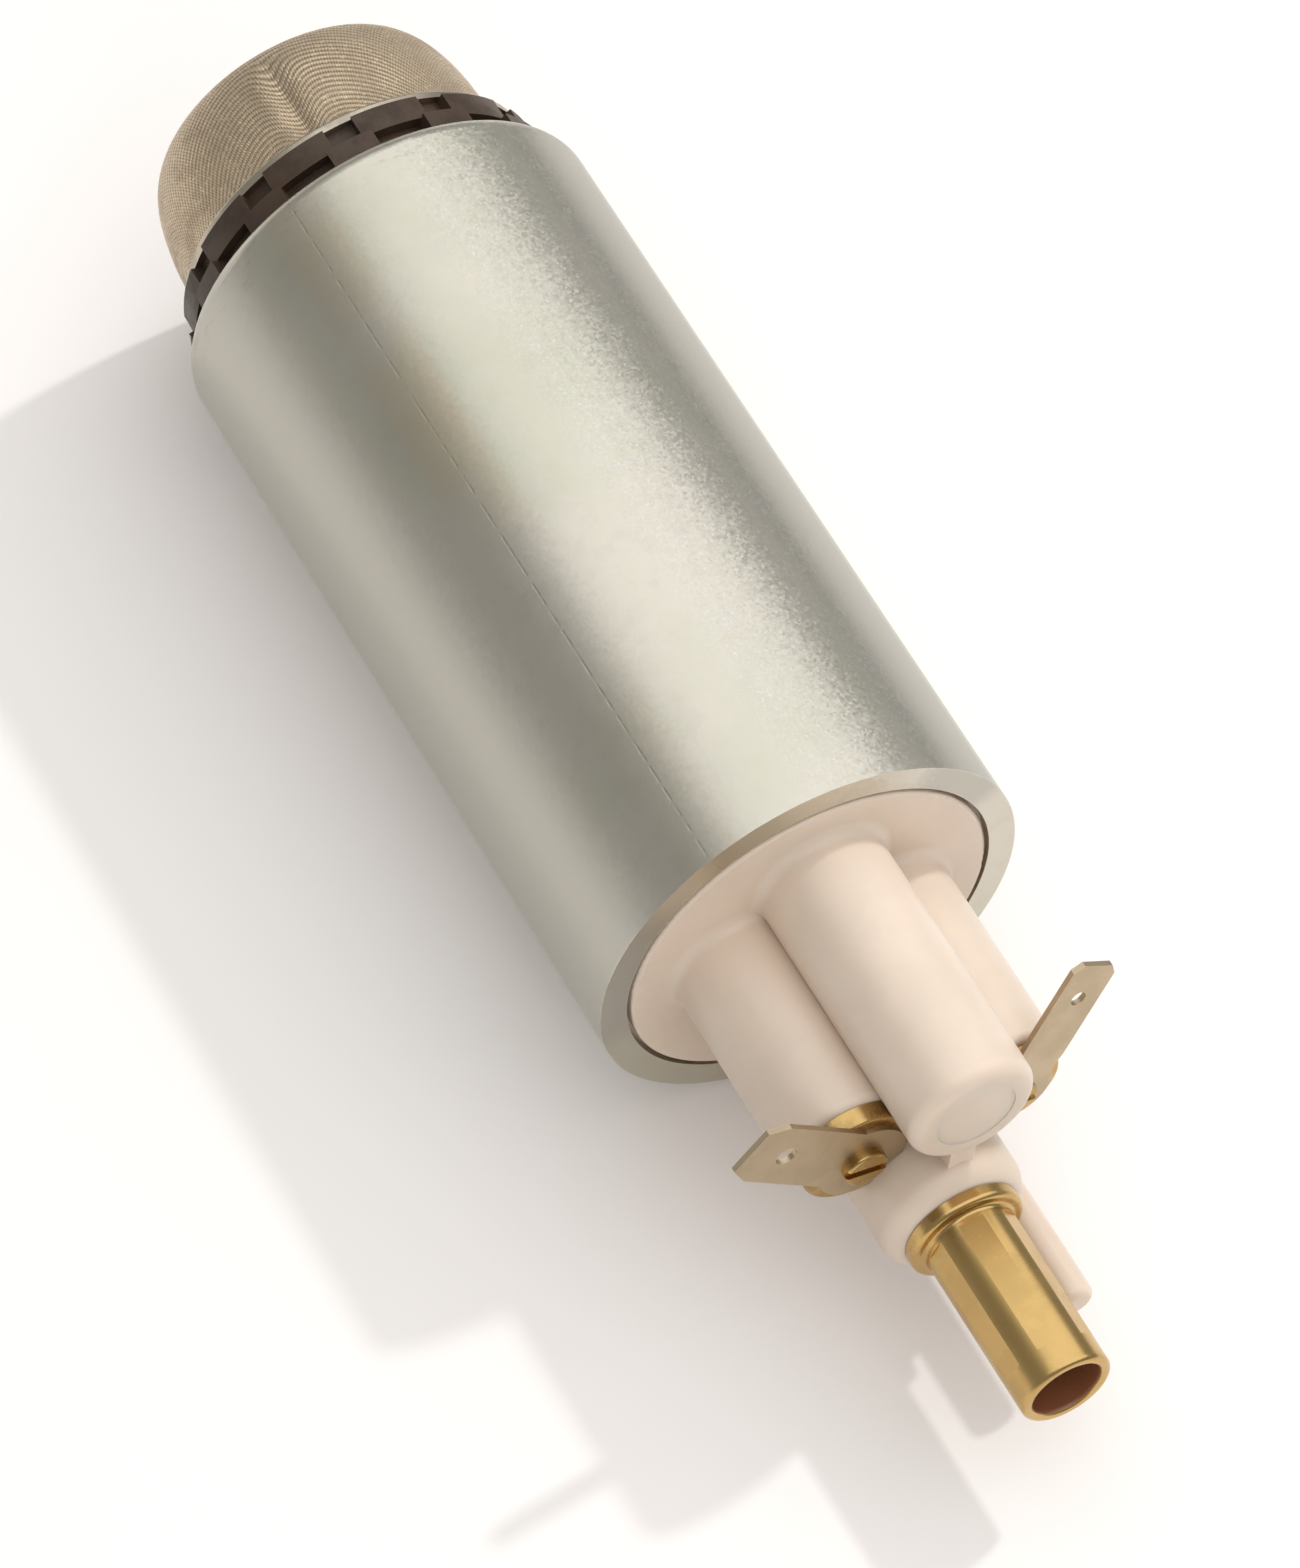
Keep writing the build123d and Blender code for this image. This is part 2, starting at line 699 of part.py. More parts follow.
# Armature shaft, with two flats that drive the inner rotor
shaft_end = inlet_plate_s - shaft_recess_depth + shaft_end_gap
flat_length = rotor_width + shaft_recess_depth
with BuildPart() as armature_shaft:
    disc(shaft_end, -shaft_outlet_end, shaft_d / 2)
    with BuildSketch(across(shaft_end)):
        for turn in (-1, 1):
            with Locations((turn * (shaft_d - shaft_flat_depth) / 2, 0)):
                Rectangle(shaft_flat_depth, shaft_d)
    extrude(amount=flat_length - shaft_end_gap, mode=Mode.SUBTRACT)
    chamfer(edges().filter_by(GeomType.CIRCLE).sort_by(Axis.X)[-1], shaft_chamfer)
finish(armature_shaft, "armature_shaft")


# Armature core: laminations with open slots
with BuildPart() as armature_core:
    with BuildSketch(across(-core_start - core_length)):
        Circle(core_r)
        Circle(shaft_d / 2, mode=Mode.SUBTRACT)
        with PolarLocations((slot_bottom_r + slot_top_r) / 2, slot_count):
            SlotOverall(slot_top_r - slot_bottom_r, slot_width, mode=Mode.SUBTRACT)
        with PolarLocations((slot_bottom_r + core_r) / 2, slot_count):
            Rectangle(core_r - slot_bottom_r + cut_overrun, slot_mouth, mode=Mode.SUBTRACT)
    extrude(amount=core_length)
finish(armature_core, "armature_core")


# Armature winding: coil sides in the slots, joined by rounded end turns
with BuildPart() as armature_winding:
    with BuildSketch(across(-core_start - core_length - slot_overlap)):
        with PolarLocations((slot_bottom_r + slot_top_r) / 2, slot_count):
            SlotOverall(slot_top_r - slot_bottom_r - 2 * winding_gap, slot_width - 2 * winding_gap)
    extrude(amount=core_length + 2 * slot_overlap)
    for s_from, s_to in ((-core_start, -core_start + end_turn),
                         (-core_start - core_length - end_turn, -core_start - core_length)):
        with BuildSketch(side):
            with Locations(((s_from + s_to) / 2, (end_turn_inner_r + slot_top_r) / 2)):
                RectangleRounded(end_turn, slot_top_r - end_turn_inner_r, end_turn_round)
        revolve(axis=pump_axis)
finish(armature_winding, "armature_winding")


# Commutator: copper segments on a moulded hub, faced by the brushes
segment_s = -commutator_face - segment_thickness
with BuildPart() as commutator_hub:
    nose_s = -bearing_boss_end - washer_thickness - 2 * seat_gap
    ring(segment_s - hub_thickness, segment_s, shaft_d / 2, commutator_r)
    ring(segment_s, nose_s, shaft_d / 2, hub_nose_r)
finish(commutator_hub, "commutator_hub")

with BuildPart() as commutator_segments:
    with BuildSketch(across(segment_s)):
        Circle(commutator_r)
        Circle(commutator_inner_r, mode=Mode.SUBTRACT)
        with PolarLocations(commutator_r / 2, segment_count):
            Rectangle(commutator_r + cut_overrun, segment_slit, mode=Mode.SUBTRACT)
    extrude(amount=segment_thickness)
finish(commutator_segments, "commutator_segments")


# Thrust washers at the two bearings
lower_bearing_face = -plate_start + lower_bearing_stand
washers = (
    ("upper", -bearing_boss_end - seat_gap - washer_thickness),
    ("lower", lower_bearing_face + seat_gap),
)
for name, s_from in washers:
    with BuildPart() as thrust_washer:
        ring(s_from, s_from + washer_thickness, shaft_d / 2, washer_od / 2)
    finish(thrust_washer, f"thrust_washer_{name}")


# Port plate with the lower bearing and the outlet port
port_r = tooth_centre_r - tooth_r + rotor_offset / 2
with BuildPart() as port_plate_piece:
    disc(-plate_start - port_plate, -plate_start, seated_r)
    with BuildSketch(across(-plate_start - port_plate)):
        Circle(bearing_od / 2)
        port_arc = CenterArc((0, 0), port_r, -port_span / 2, port_span, mode=Mode.PRIVATE)
        SlotArc(port_arc, port_width)
    extrude(amount=port_plate, mode=Mode.SUBTRACT)
finish(port_plate_piece, "port_plate")

with BuildPart() as lower_bearing:
    ring(lower_bearing_face - bearing_length, lower_bearing_face,
         shaft_d / 2 + running_gap, bearing_od / 2)
finish(lower_bearing, "lower_bearing")


# Rotor housing: a ring bored off centre
with BuildPart() as rotor_housing:
    with BuildSketch(across(inlet_plate_s)):
        Circle(seated_r)
        with Locations((0, -rotor_offset)):
            Circle(outer_rotor_r + running_gap, mode=Mode.SUBTRACT)
    extrude(amount=rotor_width)
finish(rotor_housing, "rotor_housing")

rotor_s = inlet_plate_s + rotor_side_gap
rotor_thickness = rotor_width - 2 * rotor_side_gap


# Outer rotor: round teeth on the inside of a ring
with BuildPart() as outer_rotor:
    with BuildSketch(across(rotor_s)):
        with Locations((0, -rotor_offset)):
            Circle(outer_rotor_r)
            Circle(tooth_centre_r + 2 * rotor_offset - tooth_r + rotor_root_gap,
                   mode=Mode.SUBTRACT)
            with PolarLocations(tooth_centre_r, tooth_count, start_angle=90):
                Circle(tooth_r)
    extrude(amount=rotor_thickness)
finish(outer_rotor, "outer_rotor")


def lobe_point(turn):
    """A point of the inner rotor, which stays a mesh gap off every tooth as the two turn."""
    reach = tooth_r + rotor_mesh_gap
    drive = (1 - tooth_count) * turn
    lean = atan2(sin(drive), tooth_centre_r / (rotor_offset * tooth_count) - cos(drive))
    up = tooth_centre_r * cos(turn) - reach * cos(turn + lean)
    up -= rotor_offset * cos(tooth_count * turn)
    across_y = tooth_centre_r * sin(turn) - reach * sin(turn + lean)
    across_y -= rotor_offset * sin(tooth_count * turn)
    return (across_y, up)


# Inner rotor: one lobe fewer than the outer has teeth, on the shaft's two flats
with BuildPart() as inner_rotor:
    lobe_total = (tooth_count - 1) * lobe_points
    outline_points = [lobe_point(2 * pi * i / lobe_total) for i in range(lobe_total)]
    with BuildSketch(across(rotor_s)):
        with BuildLine():
            Spline(*outline_points, periodic=True)
        make_face()
        with BuildSketch(mode=Mode.SUBTRACT):
            Circle(shaft_d / 2)
            Rectangle(shaft_d - 2 * shaft_flat_depth, shaft_d, mode=Mode.INTERSECT)
    extrude(amount=rotor_thickness)
finish(inner_rotor, "inner_rotor")


# Inlet plate: the suction port and a blind recess for the shaft's end
with BuildPart() as inlet_plate_piece:
    disc(flange_start, inlet_plate_s, seated_r)
    with BuildSketch(across(flange_start)):
        suction_arc = CenterArc((0, 0), port_r, 180 - port_span / 2, port_span,
                                mode=Mode.PRIVATE)
        SlotArc(suction_arc, port_width)
    extrude(amount=inlet_plate, mode=Mode.SUBTRACT)
    disc(inlet_plate_s - shaft_recess_depth, inlet_plate_s, shaft_d / 2 + guide_gap,
         mode=Mode.SUBTRACT)
finish(inlet_plate_piece, "inlet_plate")


def castle_row(s_from, s_to, r, width, turn):
    """A row of blocks round the inlet body."""
    for i in range(castle_count):
        middle = turn + i * 360 / castle_count
        with BuildSketch(across(s_from)) as block:
            with BuildLine():
                for radius in (castle_core_r - castle_root, r):
                    CenterArc((0, 0), radius, middle - width / 2, width)
                for end in (middle - width / 2, middle + width / 2):
                    ray = Vector(cos(radians(end)), sin(radians(end)))
                    Line(ray * (castle_core_r - castle_root), ray * r)
            make_face()
        extrude(block.sketch, amount=s_to - s_from)


# Inlet body
with BuildPart() as inlet_body:
    with BuildSketch(side):
        with BuildLine():
            Polyline(
                (flange_start, inlet_duct_r),
                (flange_start, seated_r),
                (flange_s + seat_gap, seated_r),
                (flange_s + seat_gap, intake_mouth_r - seat_gap),
                (castle_s, intake_mouth_r - seat_gap),
                (castle_s, castle_core_r),
                (castle_top, castle_core_r),
                (castle_top, strainer_r - strainer_wall - seat_gap),
                (castle_top - spigot_length, strainer_shoulder_r - strainer_wall - seat_gap),
                (castle_top - spigot_length, inlet_duct_r),
                close=True,
            )
        make_face()
    revolve(axis=pump_axis)
    castle_row(castle_split, castle_s, castle_lower_r, castle_lower_width, castle_turn)
    castle_row(castle_top, castle_split, castle_upper_r, castle_upper_width,
               castle_turn + 180 / castle_count)
finish(inlet_body, "inlet_body")


# Strainer: a closed cup, straight at its mouth and rounded in to a nearly flat end
def cup_outline(inset):
    """Half section of the strainer's cup, from its mouth to the middle of its end."""
    mouth = (castle_top, strainer_r - inset)
    shoulder = (castle_top - strainer_straight, strainer_shoulder_r - inset)
    crown_r = strainer_end_r - inset
    crown = (strainer_end + strainer_dome + inset, crown_r)
    middle = (strainer_end + inset, 0)
    wall = Line(mouth, shoulder)
    curve = Spline(shoulder, crown, tangents=(Vector(-1, 0), Vector(0, -1)),
                   tangent_scalars=(strainer_shoulder_pull, strainer_crown_pull))
    roof = Line(crown, middle)
    return wall, curve, roof


with BuildPart() as strainer_mesh:
    with BuildSketch(side):
        with BuildLine():
            cup_outline(0)
            cup_outline(strainer_wall)
            Line((castle_top, strainer_r), (castle_top, strainer_r - strainer_wall))
            Line((strainer_end, 0), (strainer_end + strainer_wall, 0))
        make_face()
    revolve(axis=pump_axis)
finish(strainer_mesh, "strainer_mesh")


# Rim that grips the strainer's cloth against the inlet body
with BuildPart() as strainer_rim:
    ring(castle_top - rim_height, castle_top, strainer_r + seat_gap, rim_r)
    fillet(edges().filter_by(GeomType.CIRCLE).group_by(Axis.X)[0], rim_round)
finish(strainer_rim, "strainer_rim")
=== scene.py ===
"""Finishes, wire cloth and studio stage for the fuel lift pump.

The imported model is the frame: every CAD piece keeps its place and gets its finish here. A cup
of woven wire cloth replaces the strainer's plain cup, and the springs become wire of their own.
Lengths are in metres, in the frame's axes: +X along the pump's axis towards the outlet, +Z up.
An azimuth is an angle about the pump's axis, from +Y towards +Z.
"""

import json
import math

import bpy
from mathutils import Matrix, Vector

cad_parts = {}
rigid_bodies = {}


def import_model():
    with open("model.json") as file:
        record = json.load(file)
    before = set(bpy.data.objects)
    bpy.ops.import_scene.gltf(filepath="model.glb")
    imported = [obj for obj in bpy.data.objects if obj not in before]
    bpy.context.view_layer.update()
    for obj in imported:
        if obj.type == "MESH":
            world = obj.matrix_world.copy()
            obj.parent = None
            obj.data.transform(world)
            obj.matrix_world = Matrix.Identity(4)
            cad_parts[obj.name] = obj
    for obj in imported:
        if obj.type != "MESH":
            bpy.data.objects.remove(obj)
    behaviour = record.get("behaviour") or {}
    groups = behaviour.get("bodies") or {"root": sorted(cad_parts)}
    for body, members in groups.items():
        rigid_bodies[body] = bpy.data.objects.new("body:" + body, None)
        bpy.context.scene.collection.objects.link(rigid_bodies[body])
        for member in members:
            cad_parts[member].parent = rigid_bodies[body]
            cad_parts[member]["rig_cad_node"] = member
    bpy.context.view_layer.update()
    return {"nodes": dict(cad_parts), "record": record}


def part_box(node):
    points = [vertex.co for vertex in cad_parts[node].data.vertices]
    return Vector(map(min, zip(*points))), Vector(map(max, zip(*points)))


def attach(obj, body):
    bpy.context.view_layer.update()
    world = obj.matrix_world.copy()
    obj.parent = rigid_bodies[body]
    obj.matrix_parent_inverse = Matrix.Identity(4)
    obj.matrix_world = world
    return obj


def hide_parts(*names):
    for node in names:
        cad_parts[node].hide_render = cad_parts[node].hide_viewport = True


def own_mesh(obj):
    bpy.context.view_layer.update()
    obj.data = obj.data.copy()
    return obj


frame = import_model()

bl_info = {
    "name": "Fuel lift pump looks",
    "version": (1, 0, 0),
    "blender": (4, 5, 0),
    "location": "View3D > Sidebar > Fuel pump",
    "description": "Finishes, wire cloth strainer and studio stage for a fuel lift pump",
    "category": "Object",
}

MM = 0.001
CASING_LOW, CASING_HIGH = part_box("casing")
CUP_LOW, CUP_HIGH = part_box("strainer_mesh")
AXIS_Z = (CASING_LOW[2] + CASING_HIGH[2]) / 2
NIPPLE_LOW, NIPPLE_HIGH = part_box("outlet_nipple")
NIPPLE_Z = (NIPPLE_LOW[2] + NIPPLE_HIGH[2]) / 2
AXIS = (0.0, 0.0, AXIS_Z)

# The strainer's cloth: the steps of its mesh, and where its relief is. A reach is a distance
# along the cloth from the middle of its crown. The fold and the pull begin at the wall's reach
# and are full at their own. Widths and places are in radians about the axis.
CLOTH_AROUND = 480
CLOTH_OUTER_STEPS = 150
CLOTH_INNER_STEPS = 14
CORNER_STEPS = 24
CORNER_SQUARENESS = 0.92
WALL_REACH = 13 * MM
FOLD_REACH = 18 * MM
PULL_REACH = 19 * MM
CENTRE_FADE = 4 * MM
MOUTH_FADE = 1.5 * MM
RIB_FADE = 0.5 * MM
FOLD_WIDTH = 0.05
LIP_PLACE = 0.12
LIP_WIDTH = 0.06
LIP_SHARE = 0.3
PULL_WIDTH = 0.13
SLACK_HEIGHT = 0.05 * MM
SLACK_WAVES_ROUND = 5
SLACK_TURN_PER_METRE = 400
FINE_WIRE_SHARE = 0.7

# Places of the colour sockets on a Mix node
MIX_A, MIX_B, MIX_RESULT = 6, 7, 2


# Sizes and colours a user may change


class StageSettings(bpy.types.PropertyGroup):
    """The floor, the lamps and the camera."""

    floor_colour: bpy.props.FloatVectorProperty(
        name="Floor", description="Colour of the floor", subtype="COLOR", size=3,
        default=(0.80, 0.775, 0.755))
    floor_size: bpy.props.FloatProperty(
        name="Floor size", description="Side of the square floor", unit="LENGTH", default=6.0)
    floor_lift: bpy.props.FloatProperty(
        name="Floor lift", description="Light the floor adds for what looks straight at it",
        default=0.12)
    floor_glow: bpy.props.FloatVectorProperty(
        name="Floor glow", description="Colour of the light the floor adds", subtype="COLOR",
        size=3, default=(1.0, 0.92, 0.90))
    world_colour: bpy.props.FloatVectorProperty(
        name="Surroundings", description="Colour of the room round the pump", subtype="COLOR",
        size=3, default=(0.315, 0.315, 0.305))
    softbox_power: bpy.props.FloatProperty(
        name="Softbox power", description="Power of the overhead softbox", unit="POWER",
        default=4.2)
    softbox_width: bpy.props.FloatProperty(
        name="Softbox width", description="Width of the overhead softbox", unit="LENGTH",
        default=1.25)
    softbox_place: bpy.props.FloatVectorProperty(
        name="Softbox place", description="Where the overhead softbox hangs",
        subtype="TRANSLATION", size=3, default=(-0.02, 0.10, 0.55))
    key_power: bpy.props.FloatProperty(
        name="Key power", description="Power of the lamp that casts the shadow", unit="POWER",
        default=18.0)
    key_width: bpy.props.FloatProperty(
        name="Key width", description="Width of the lamp that casts the shadow", unit="LENGTH",
        default=0.12)
    key_place: bpy.props.FloatVectorProperty(
        name="Key place", description="Where the lamp that casts the shadow hangs",
        subtype="TRANSLATION", size=3, default=(-0.51, 1.50, 1.66))
    fill_power: bpy.props.FloatProperty(
        name="Fill power", description="Power of the weak lamp at the outlet end", unit="POWER",
        default=1.2)
    fill_width: bpy.props.FloatProperty(
        name="Fill width", description="Width of the weak lamp at the outlet end", unit="LENGTH",
        default=0.4)
    fill_place: bpy.props.FloatVectorProperty(
        name="Fill place", description="Where the weak lamp at the outlet end hangs",
        subtype="TRANSLATION", size=3, default=(0.70, -0.15, 0.30))
    camera_place: bpy.props.FloatVectorProperty(
        name="Camera place", description="Where the camera stands", subtype="TRANSLATION",
        size=3, default=(0.337564, -0.245636, 0.564191))
    camera_turn: bpy.props.FloatVectorProperty(
        name="Camera turn", description="Rotation of the camera", subtype="EULER", size=3,
        default=(math.radians(36.5169), math.radians(-5.7487), math.radians(61.6922)))
    camera_lens: bpy.props.FloatProperty(
        name="Lens", description="Focal length in millimetres on a 36 mm sensor",
        default=192.769)


class FinishSettings(bpy.types.PropertyGroup):
    """Colours of the pump's finishes and of the casing's painted shade and painted glints, and
    where these and the marks on its casing lie.
    """

    zinc: bpy.props.FloatVectorProperty(
        name="Zinc plate", description="Colour of the casing's plating", subtype="COLOR",
        size=3, default=(0.635, 0.60, 0.52))
    zinc_stain: bpy.props.FloatVectorProperty(
        name="Zinc stain", description="Colour of the handling marks at the casing's inlet end",
        subtype="COLOR", size=3, default=(0.42, 0.37, 0.28))
    # Painted glints: lighter, bluish spots painted on the grain along the side where the casing's
    # highlight falls. The next two settings place them, and the side whose crystals tilt more.
    zinc_painted_glint: bpy.props.FloatVectorProperty(
        name="Zinc painted glint", description="Colour of the coarse crystals along the casing's side",
        subtype="COLOR", size=3, default=(0.70, 0.71, 0.74))
    glint_and_crystal_azimuth: bpy.props.FloatProperty(
        name="Glint and crystal azimuth", description="Where the coarse crystals run, about the pump's axis",
        subtype="ANGLE", default=math.radians(78.0))
    glint_and_crystal_spread: bpy.props.FloatProperty(
        name="Glint and crystal spread", description="How far round the coarse crystals reach each way",
        subtype="ANGLE", default=math.radians(26.0))
    zinc_heat: bpy.props.FloatVectorProperty(
        name="Weld tint", description="Colour that the weld's heat left beside the seam",
        subtype="COLOR", size=3, default=(0.60, 0.53, 0.40))
    heat_spread: bpy.props.FloatProperty(
        name="Weld tint spread", description="How far round the weld's tint reaches each way",
        subtype="ANGLE", default=math.radians(11.0))
    # Painted shade: the zinc is painted darker on a broad and a narrow side of the casing,
    # standing in for darker reflections there. The next five settings give its colour and where it
    # lies.
    zinc_painted_shade: bpy.props.FloatVectorProperty(
        name="Zinc painted shade", description="Colour of the plating where it came out duller",
        subtype="COLOR", size=3, default=(0.49, 0.475, 0.42))
    painted_shade_azimuth: bpy.props.FloatProperty(
        name="Painted shade side", description="Middle of the broad dull side, about the pump's axis",
        subtype="ANGLE", default=math.radians(173.0))
    painted_shade_spread: bpy.props.FloatProperty(
        name="Painted shade spread", description="How far the broad dull side reaches each way",
        subtype="ANGLE", default=math.radians(34.0))
    painted_streak_azimuth: bpy.props.FloatProperty(
        name="Painted shade streak", description="Middle of the narrow dull side, about the pump's axis",
        subtype="ANGLE", default=math.radians(47.0))
    painted_streak_spread: bpy.props.FloatProperty(
        name="Painted streak spread", description="How far the narrow dull side reaches each way",
        subtype="ANGLE", default=math.radians(19.0))
    seam_azimuth: bpy.props.FloatProperty(
        name="Seam azimuth", description="Where the casing's seam runs, about the pump's axis",
        subtype="ANGLE", default=math.radians(125.3))
    plastic: bpy.props.FloatVectorProperty(
        name="Ivory plastic", description="Colour of the cap's moulding", subtype="COLOR",
        size=3, default=(0.75, 0.625, 0.515))
    brass: bpy.props.FloatVectorProperty(
        name="Brass", description="Colour of the nipple, brush caps and screws",
        subtype="COLOR", size=3, default=(0.59, 0.395, 0.155))
    # The colour inside the nipple's bore, darker and not metallic, out to the radius below
    darkening: bpy.props.FloatVectorProperty(
        name="Bore darkening", description="Colour of the brass inside the nipple's bore",
        subtype="COLOR", size=3, default=(0.26, 0.10, 0.045))
    nipple_bore: bpy.props.FloatProperty(
        name="Tarnish reach", description="Radius about the nipple's axis that the tarnish fills",
        unit="LENGTH", default=3.15 * MM)
    tin: bpy.props.FloatVectorProperty(
        name="Tinned plate", description="Colour of the blades", subtype="COLOR", size=3,
        default=(0.53, 0.425, 0.29))
    inlet: bpy.props.FloatVectorProperty(
        name="Inlet moulding", description="Colour of the castellated inlet body",
        subtype="COLOR", size=3, default=(0.066, 0.042, 0.028))
    cloth: bpy.props.FloatVectorProperty(
        name="Wire cloth", description="Colour of the strainer's wire", subtype="COLOR", size=3,
        default=(0.66, 0.52, 0.36))


class ClothSettings(bpy.types.PropertyGroup):
    """The strainer's wire cloth."""

    shoulder: bpy.props.FloatProperty(
        name="Straight wall", description="Length of the cup's straight wall", unit="LENGTH",
        default=3.4 * MM)
    draft: bpy.props.FloatProperty(
        name="Wall draft", description="How much the straight wall closes in", unit="LENGTH",
        default=0.3 * MM)
    crown_inset: bpy.props.FloatProperty(
        name="Crown inset", description="From the mouth's radius to the crown's edge",
        unit="LENGTH", default=3.7 * MM)
    dome: bpy.props.FloatProperty(
        name="Dome", description="Rise of the crown's middle above its edge", unit="LENGTH",
        default=0.4 * MM)
    wall: bpy.props.FloatProperty(
        name="Wall", description="Thickness of the cloth", unit="LENGTH", default=0.45 * MM)
    rib_pitch: bpy.props.FloatProperty(
        name="Rib pitch", description="Distance between the cloth's ribs", unit="LENGTH",
        default=0.54 * MM)
    rib_height: bpy.props.FloatProperty(
        name="Rib height", description="Height of a rib from valley to crest", unit="LENGTH",
        default=0.04 * MM)
    wire_pitch: bpy.props.FloatProperty(
        name="Wire pitch", description="Distance between the fine wires across the ribs",
        unit="LENGTH", default=0.30 * MM)
    pinch_azimuth: bpy.props.FloatProperty(
        name="Pinch azimuth", description="Where the cloth is pinched, about the pump's axis",
        subtype="ANGLE", default=math.radians(110.5))
    pinch_depth: bpy.props.FloatProperty(
        name="Pinch depth", description="How far the pinch goes into the wall", unit="LENGTH",
        default=0.4 * MM)
    pinch_pull: bpy.props.FloatProperty(
        name="Pinch pull", description="How far the pinch pulls the ribs towards the mouth",
        unit="LENGTH", default=2.2 * MM)


# Shader nodes. Where a value may also be linked, the link is given as a (node, output) pair.


def add_node(tree, kind, inputs=None, **settings):
    """Adds a node with its settings, and a constant or a link for each of its sockets."""
    node = tree.nodes.new(kind)
    for name, value in settings.items():
        setattr(node, name, value)
    for socket, value in (inputs or {}).items():
        if isinstance(value, tuple) and isinstance(value[0], bpy.types.Node):
            join(tree, *value, node, socket)
        else:
            node.inputs[socket].default_value = value
    return node


def join(tree, source, output, target, socket):
    """Links one node's output to another node's socket."""
    tree.links.new(source.outputs[output], target.inputs[socket])


def mathematics(tree, operation, *values):
    """A math node on one or two values."""
    return add_node(tree, "ShaderNodeMath", dict(enumerate(values)), operation=operation)


def remap(tree, value, low=0.0, high=1.0, to_low=0.0, to_high=1.0, smooth=False):
    """Carries a value from between two ends to between two others, and holds it there."""
    return add_node(
        tree, "ShaderNodeMapRange",
        {"Value": value, "From Min": low, "From Max": high, "To Min": to_low, "To Max": to_high},
        interpolation_type="SMOOTHSTEP" if smooth else "LINEAR")


def noise(tree, vector, scale, detail=2.0, roughness=0.5):
    """A noise texture."""
    return add_node(tree, "ShaderNodeTexNoise", {
        "Vector": vector, "Scale": scale, "Detail": detail, "Roughness": roughness})


def new_group(name, inputs, outputs=("Mask",)):
    """A shader node group that reads a Vector, and its two end nodes.

    Each further input comes with its default, or with None where it is a vector too.
    """
    group = bpy.data.node_groups.new(name, "ShaderNodeTree")
    for label, default in {"Vector": None, **inputs}.items():
        kind = "NodeSocketVector" if default is None else "NodeSocketFloat"
        socket = group.interface.new_socket(label, in_out="INPUT", socket_type=kind)
        if default is not None:
            socket.default_value = default
    for label in outputs:
        kind = "NodeSocketVector" if label == "Normal" else "NodeSocketFloat"
        group.interface.new_socket(label, in_out="OUTPUT", socket_type=kind)
    return group, add_node(group, "NodeGroupInput"), add_node(group, "NodeGroupOutput")


def separated(group, start):
    """The parts of a group's Vector."""
    return add_node(group, "ShaderNodeSeparateXYZ", {"Vector": (start, "Vector")})


def stretched(group, start, scale):
    """A group's Vector, drawn out or squeezed along each axis, ready to be linked."""
    node = add_node(group, "ShaderNodeMapping", {"Vector": (start, "Vector"), "Scale": scale})
    return node, "Vector"


def distance_from_axis(group, across, upwards):
    """How far a point is from an axis along X, from its two distances across that axis."""
    across_square = mathematics(group, "MULTIPLY", across, across)
    upwards_square = mathematics(group, "MULTIPLY", upwards, upwards)
    total = mathematics(group, "ADD", (across_square, 0), (upwards_square, 0))
    return mathematics(group, "SQRT", (total, 0))


def azimuth_from(group, start):
    """The azimuth of a group's Vector about its Centre height, less the group's Azimuth."""
    parts = separated(group, start)
    height = mathematics(group, "SUBTRACT", (parts, "Z"), (start, "Centre height"))
    azimuth = mathematics(group, "ARCTAN2", (height, 0), (parts, "Y"))
    return mathematics(group, "SUBTRACT", (azimuth, 0), (start, "Azimuth"))


def blotch_group():
    """Soft uneven patches, from 0 to 1."""
    group, start, end = new_group("Blotches", {"Scale": 120.0, "From": 0.4, "To": 0.65})
    cloud = noise(group, (start, "Vector"), (start, "Scale"), detail=4.0, roughness=0.6)
    patches = remap(group, (cloud, "Fac"), (start, "From"), (start, "To"), smooth=True)
    join(group, patches, "Result", end, "Mask")
    return group


def grain_group():
    """Fine even grain, as a height and as a mask of its high spots."""
    group, start, end = new_group("Fine grain", {"Scale": 2500.0}, ("Height", "Spots"))
    grain = noise(group, (start, "Vector"), (start, "Scale"), detail=3.0, roughness=0.65)
    spots = remap(group, (grain, "Fac"), 0.55, 0.75)
    join(group, grain, "Fac", end, "Height")
    join(group, spots, "Result", end, "Spots")
    return group


def drawn_line_group():
    """Long faint lines along the pump's axis, as rolling or drawing leaves them."""
    group, start, end = new_group("Drawn lines", {"Scale": 900.0}, ("Height",))
    lines = noise(group, stretched(group, start, (0.03, 1.0, 1.0)), (start, "Scale"))
    join(group, lines, "Fac", end, "Height")
    return group


def turning_group():
    """Fine rings about a line parallel to the pump's axis, as a lathe tool leaves them."""
    group, start, end = new_group("Turning marks", {"Scale": 900.0}, ("Height",))
    parts = separated(group, start)
    radius = distance_from_axis(group, (parts, "Y"), (parts, "Z"))
    spot = add_node(group, "ShaderNodeCombineXYZ", {"X": (parts, "X"), "Y": (radius, 0)})
    rings = noise(group, (spot, "Vector"), (start, "Scale"))
    join(group, rings, "Fac", end, "Height")
    return group


def sparkle_group():
    """Tilts the surface a little, crystal by crystal, so that single ones glint."""
    group, start, end = new_group(
        "Sparkle", {"Scale": 3000.0, "Tilt": 0.1, "Normal": None}, ("Normal",))
    cells = add_node(group, "ShaderNodeTexVoronoi",
                     {"Vector": (start, "Vector"), "Scale": (start, "Scale")})
    centred = add_node(group, "ShaderNodeVectorMath",
                       {0: (cells, "Color"), 1: (0.5, 0.5, 0.5)}, operation="SUBTRACT")
    tilt = add_node(group, "ShaderNodeVectorMath",
                    {0: (centred, "Vector"), "Scale": (start, "Tilt")}, operation="SCALE")
    total = add_node(group, "ShaderNodeVectorMath",
                     {0: (tilt, "Vector"), 1: (start, "Normal")}, operation="ADD")
    unit = add_node(group, "ShaderNodeVectorMath", {0: (total, "Vector")},
                    operation="NORMALIZE")
    join(group, unit, "Vector", end, "Normal")
    return group


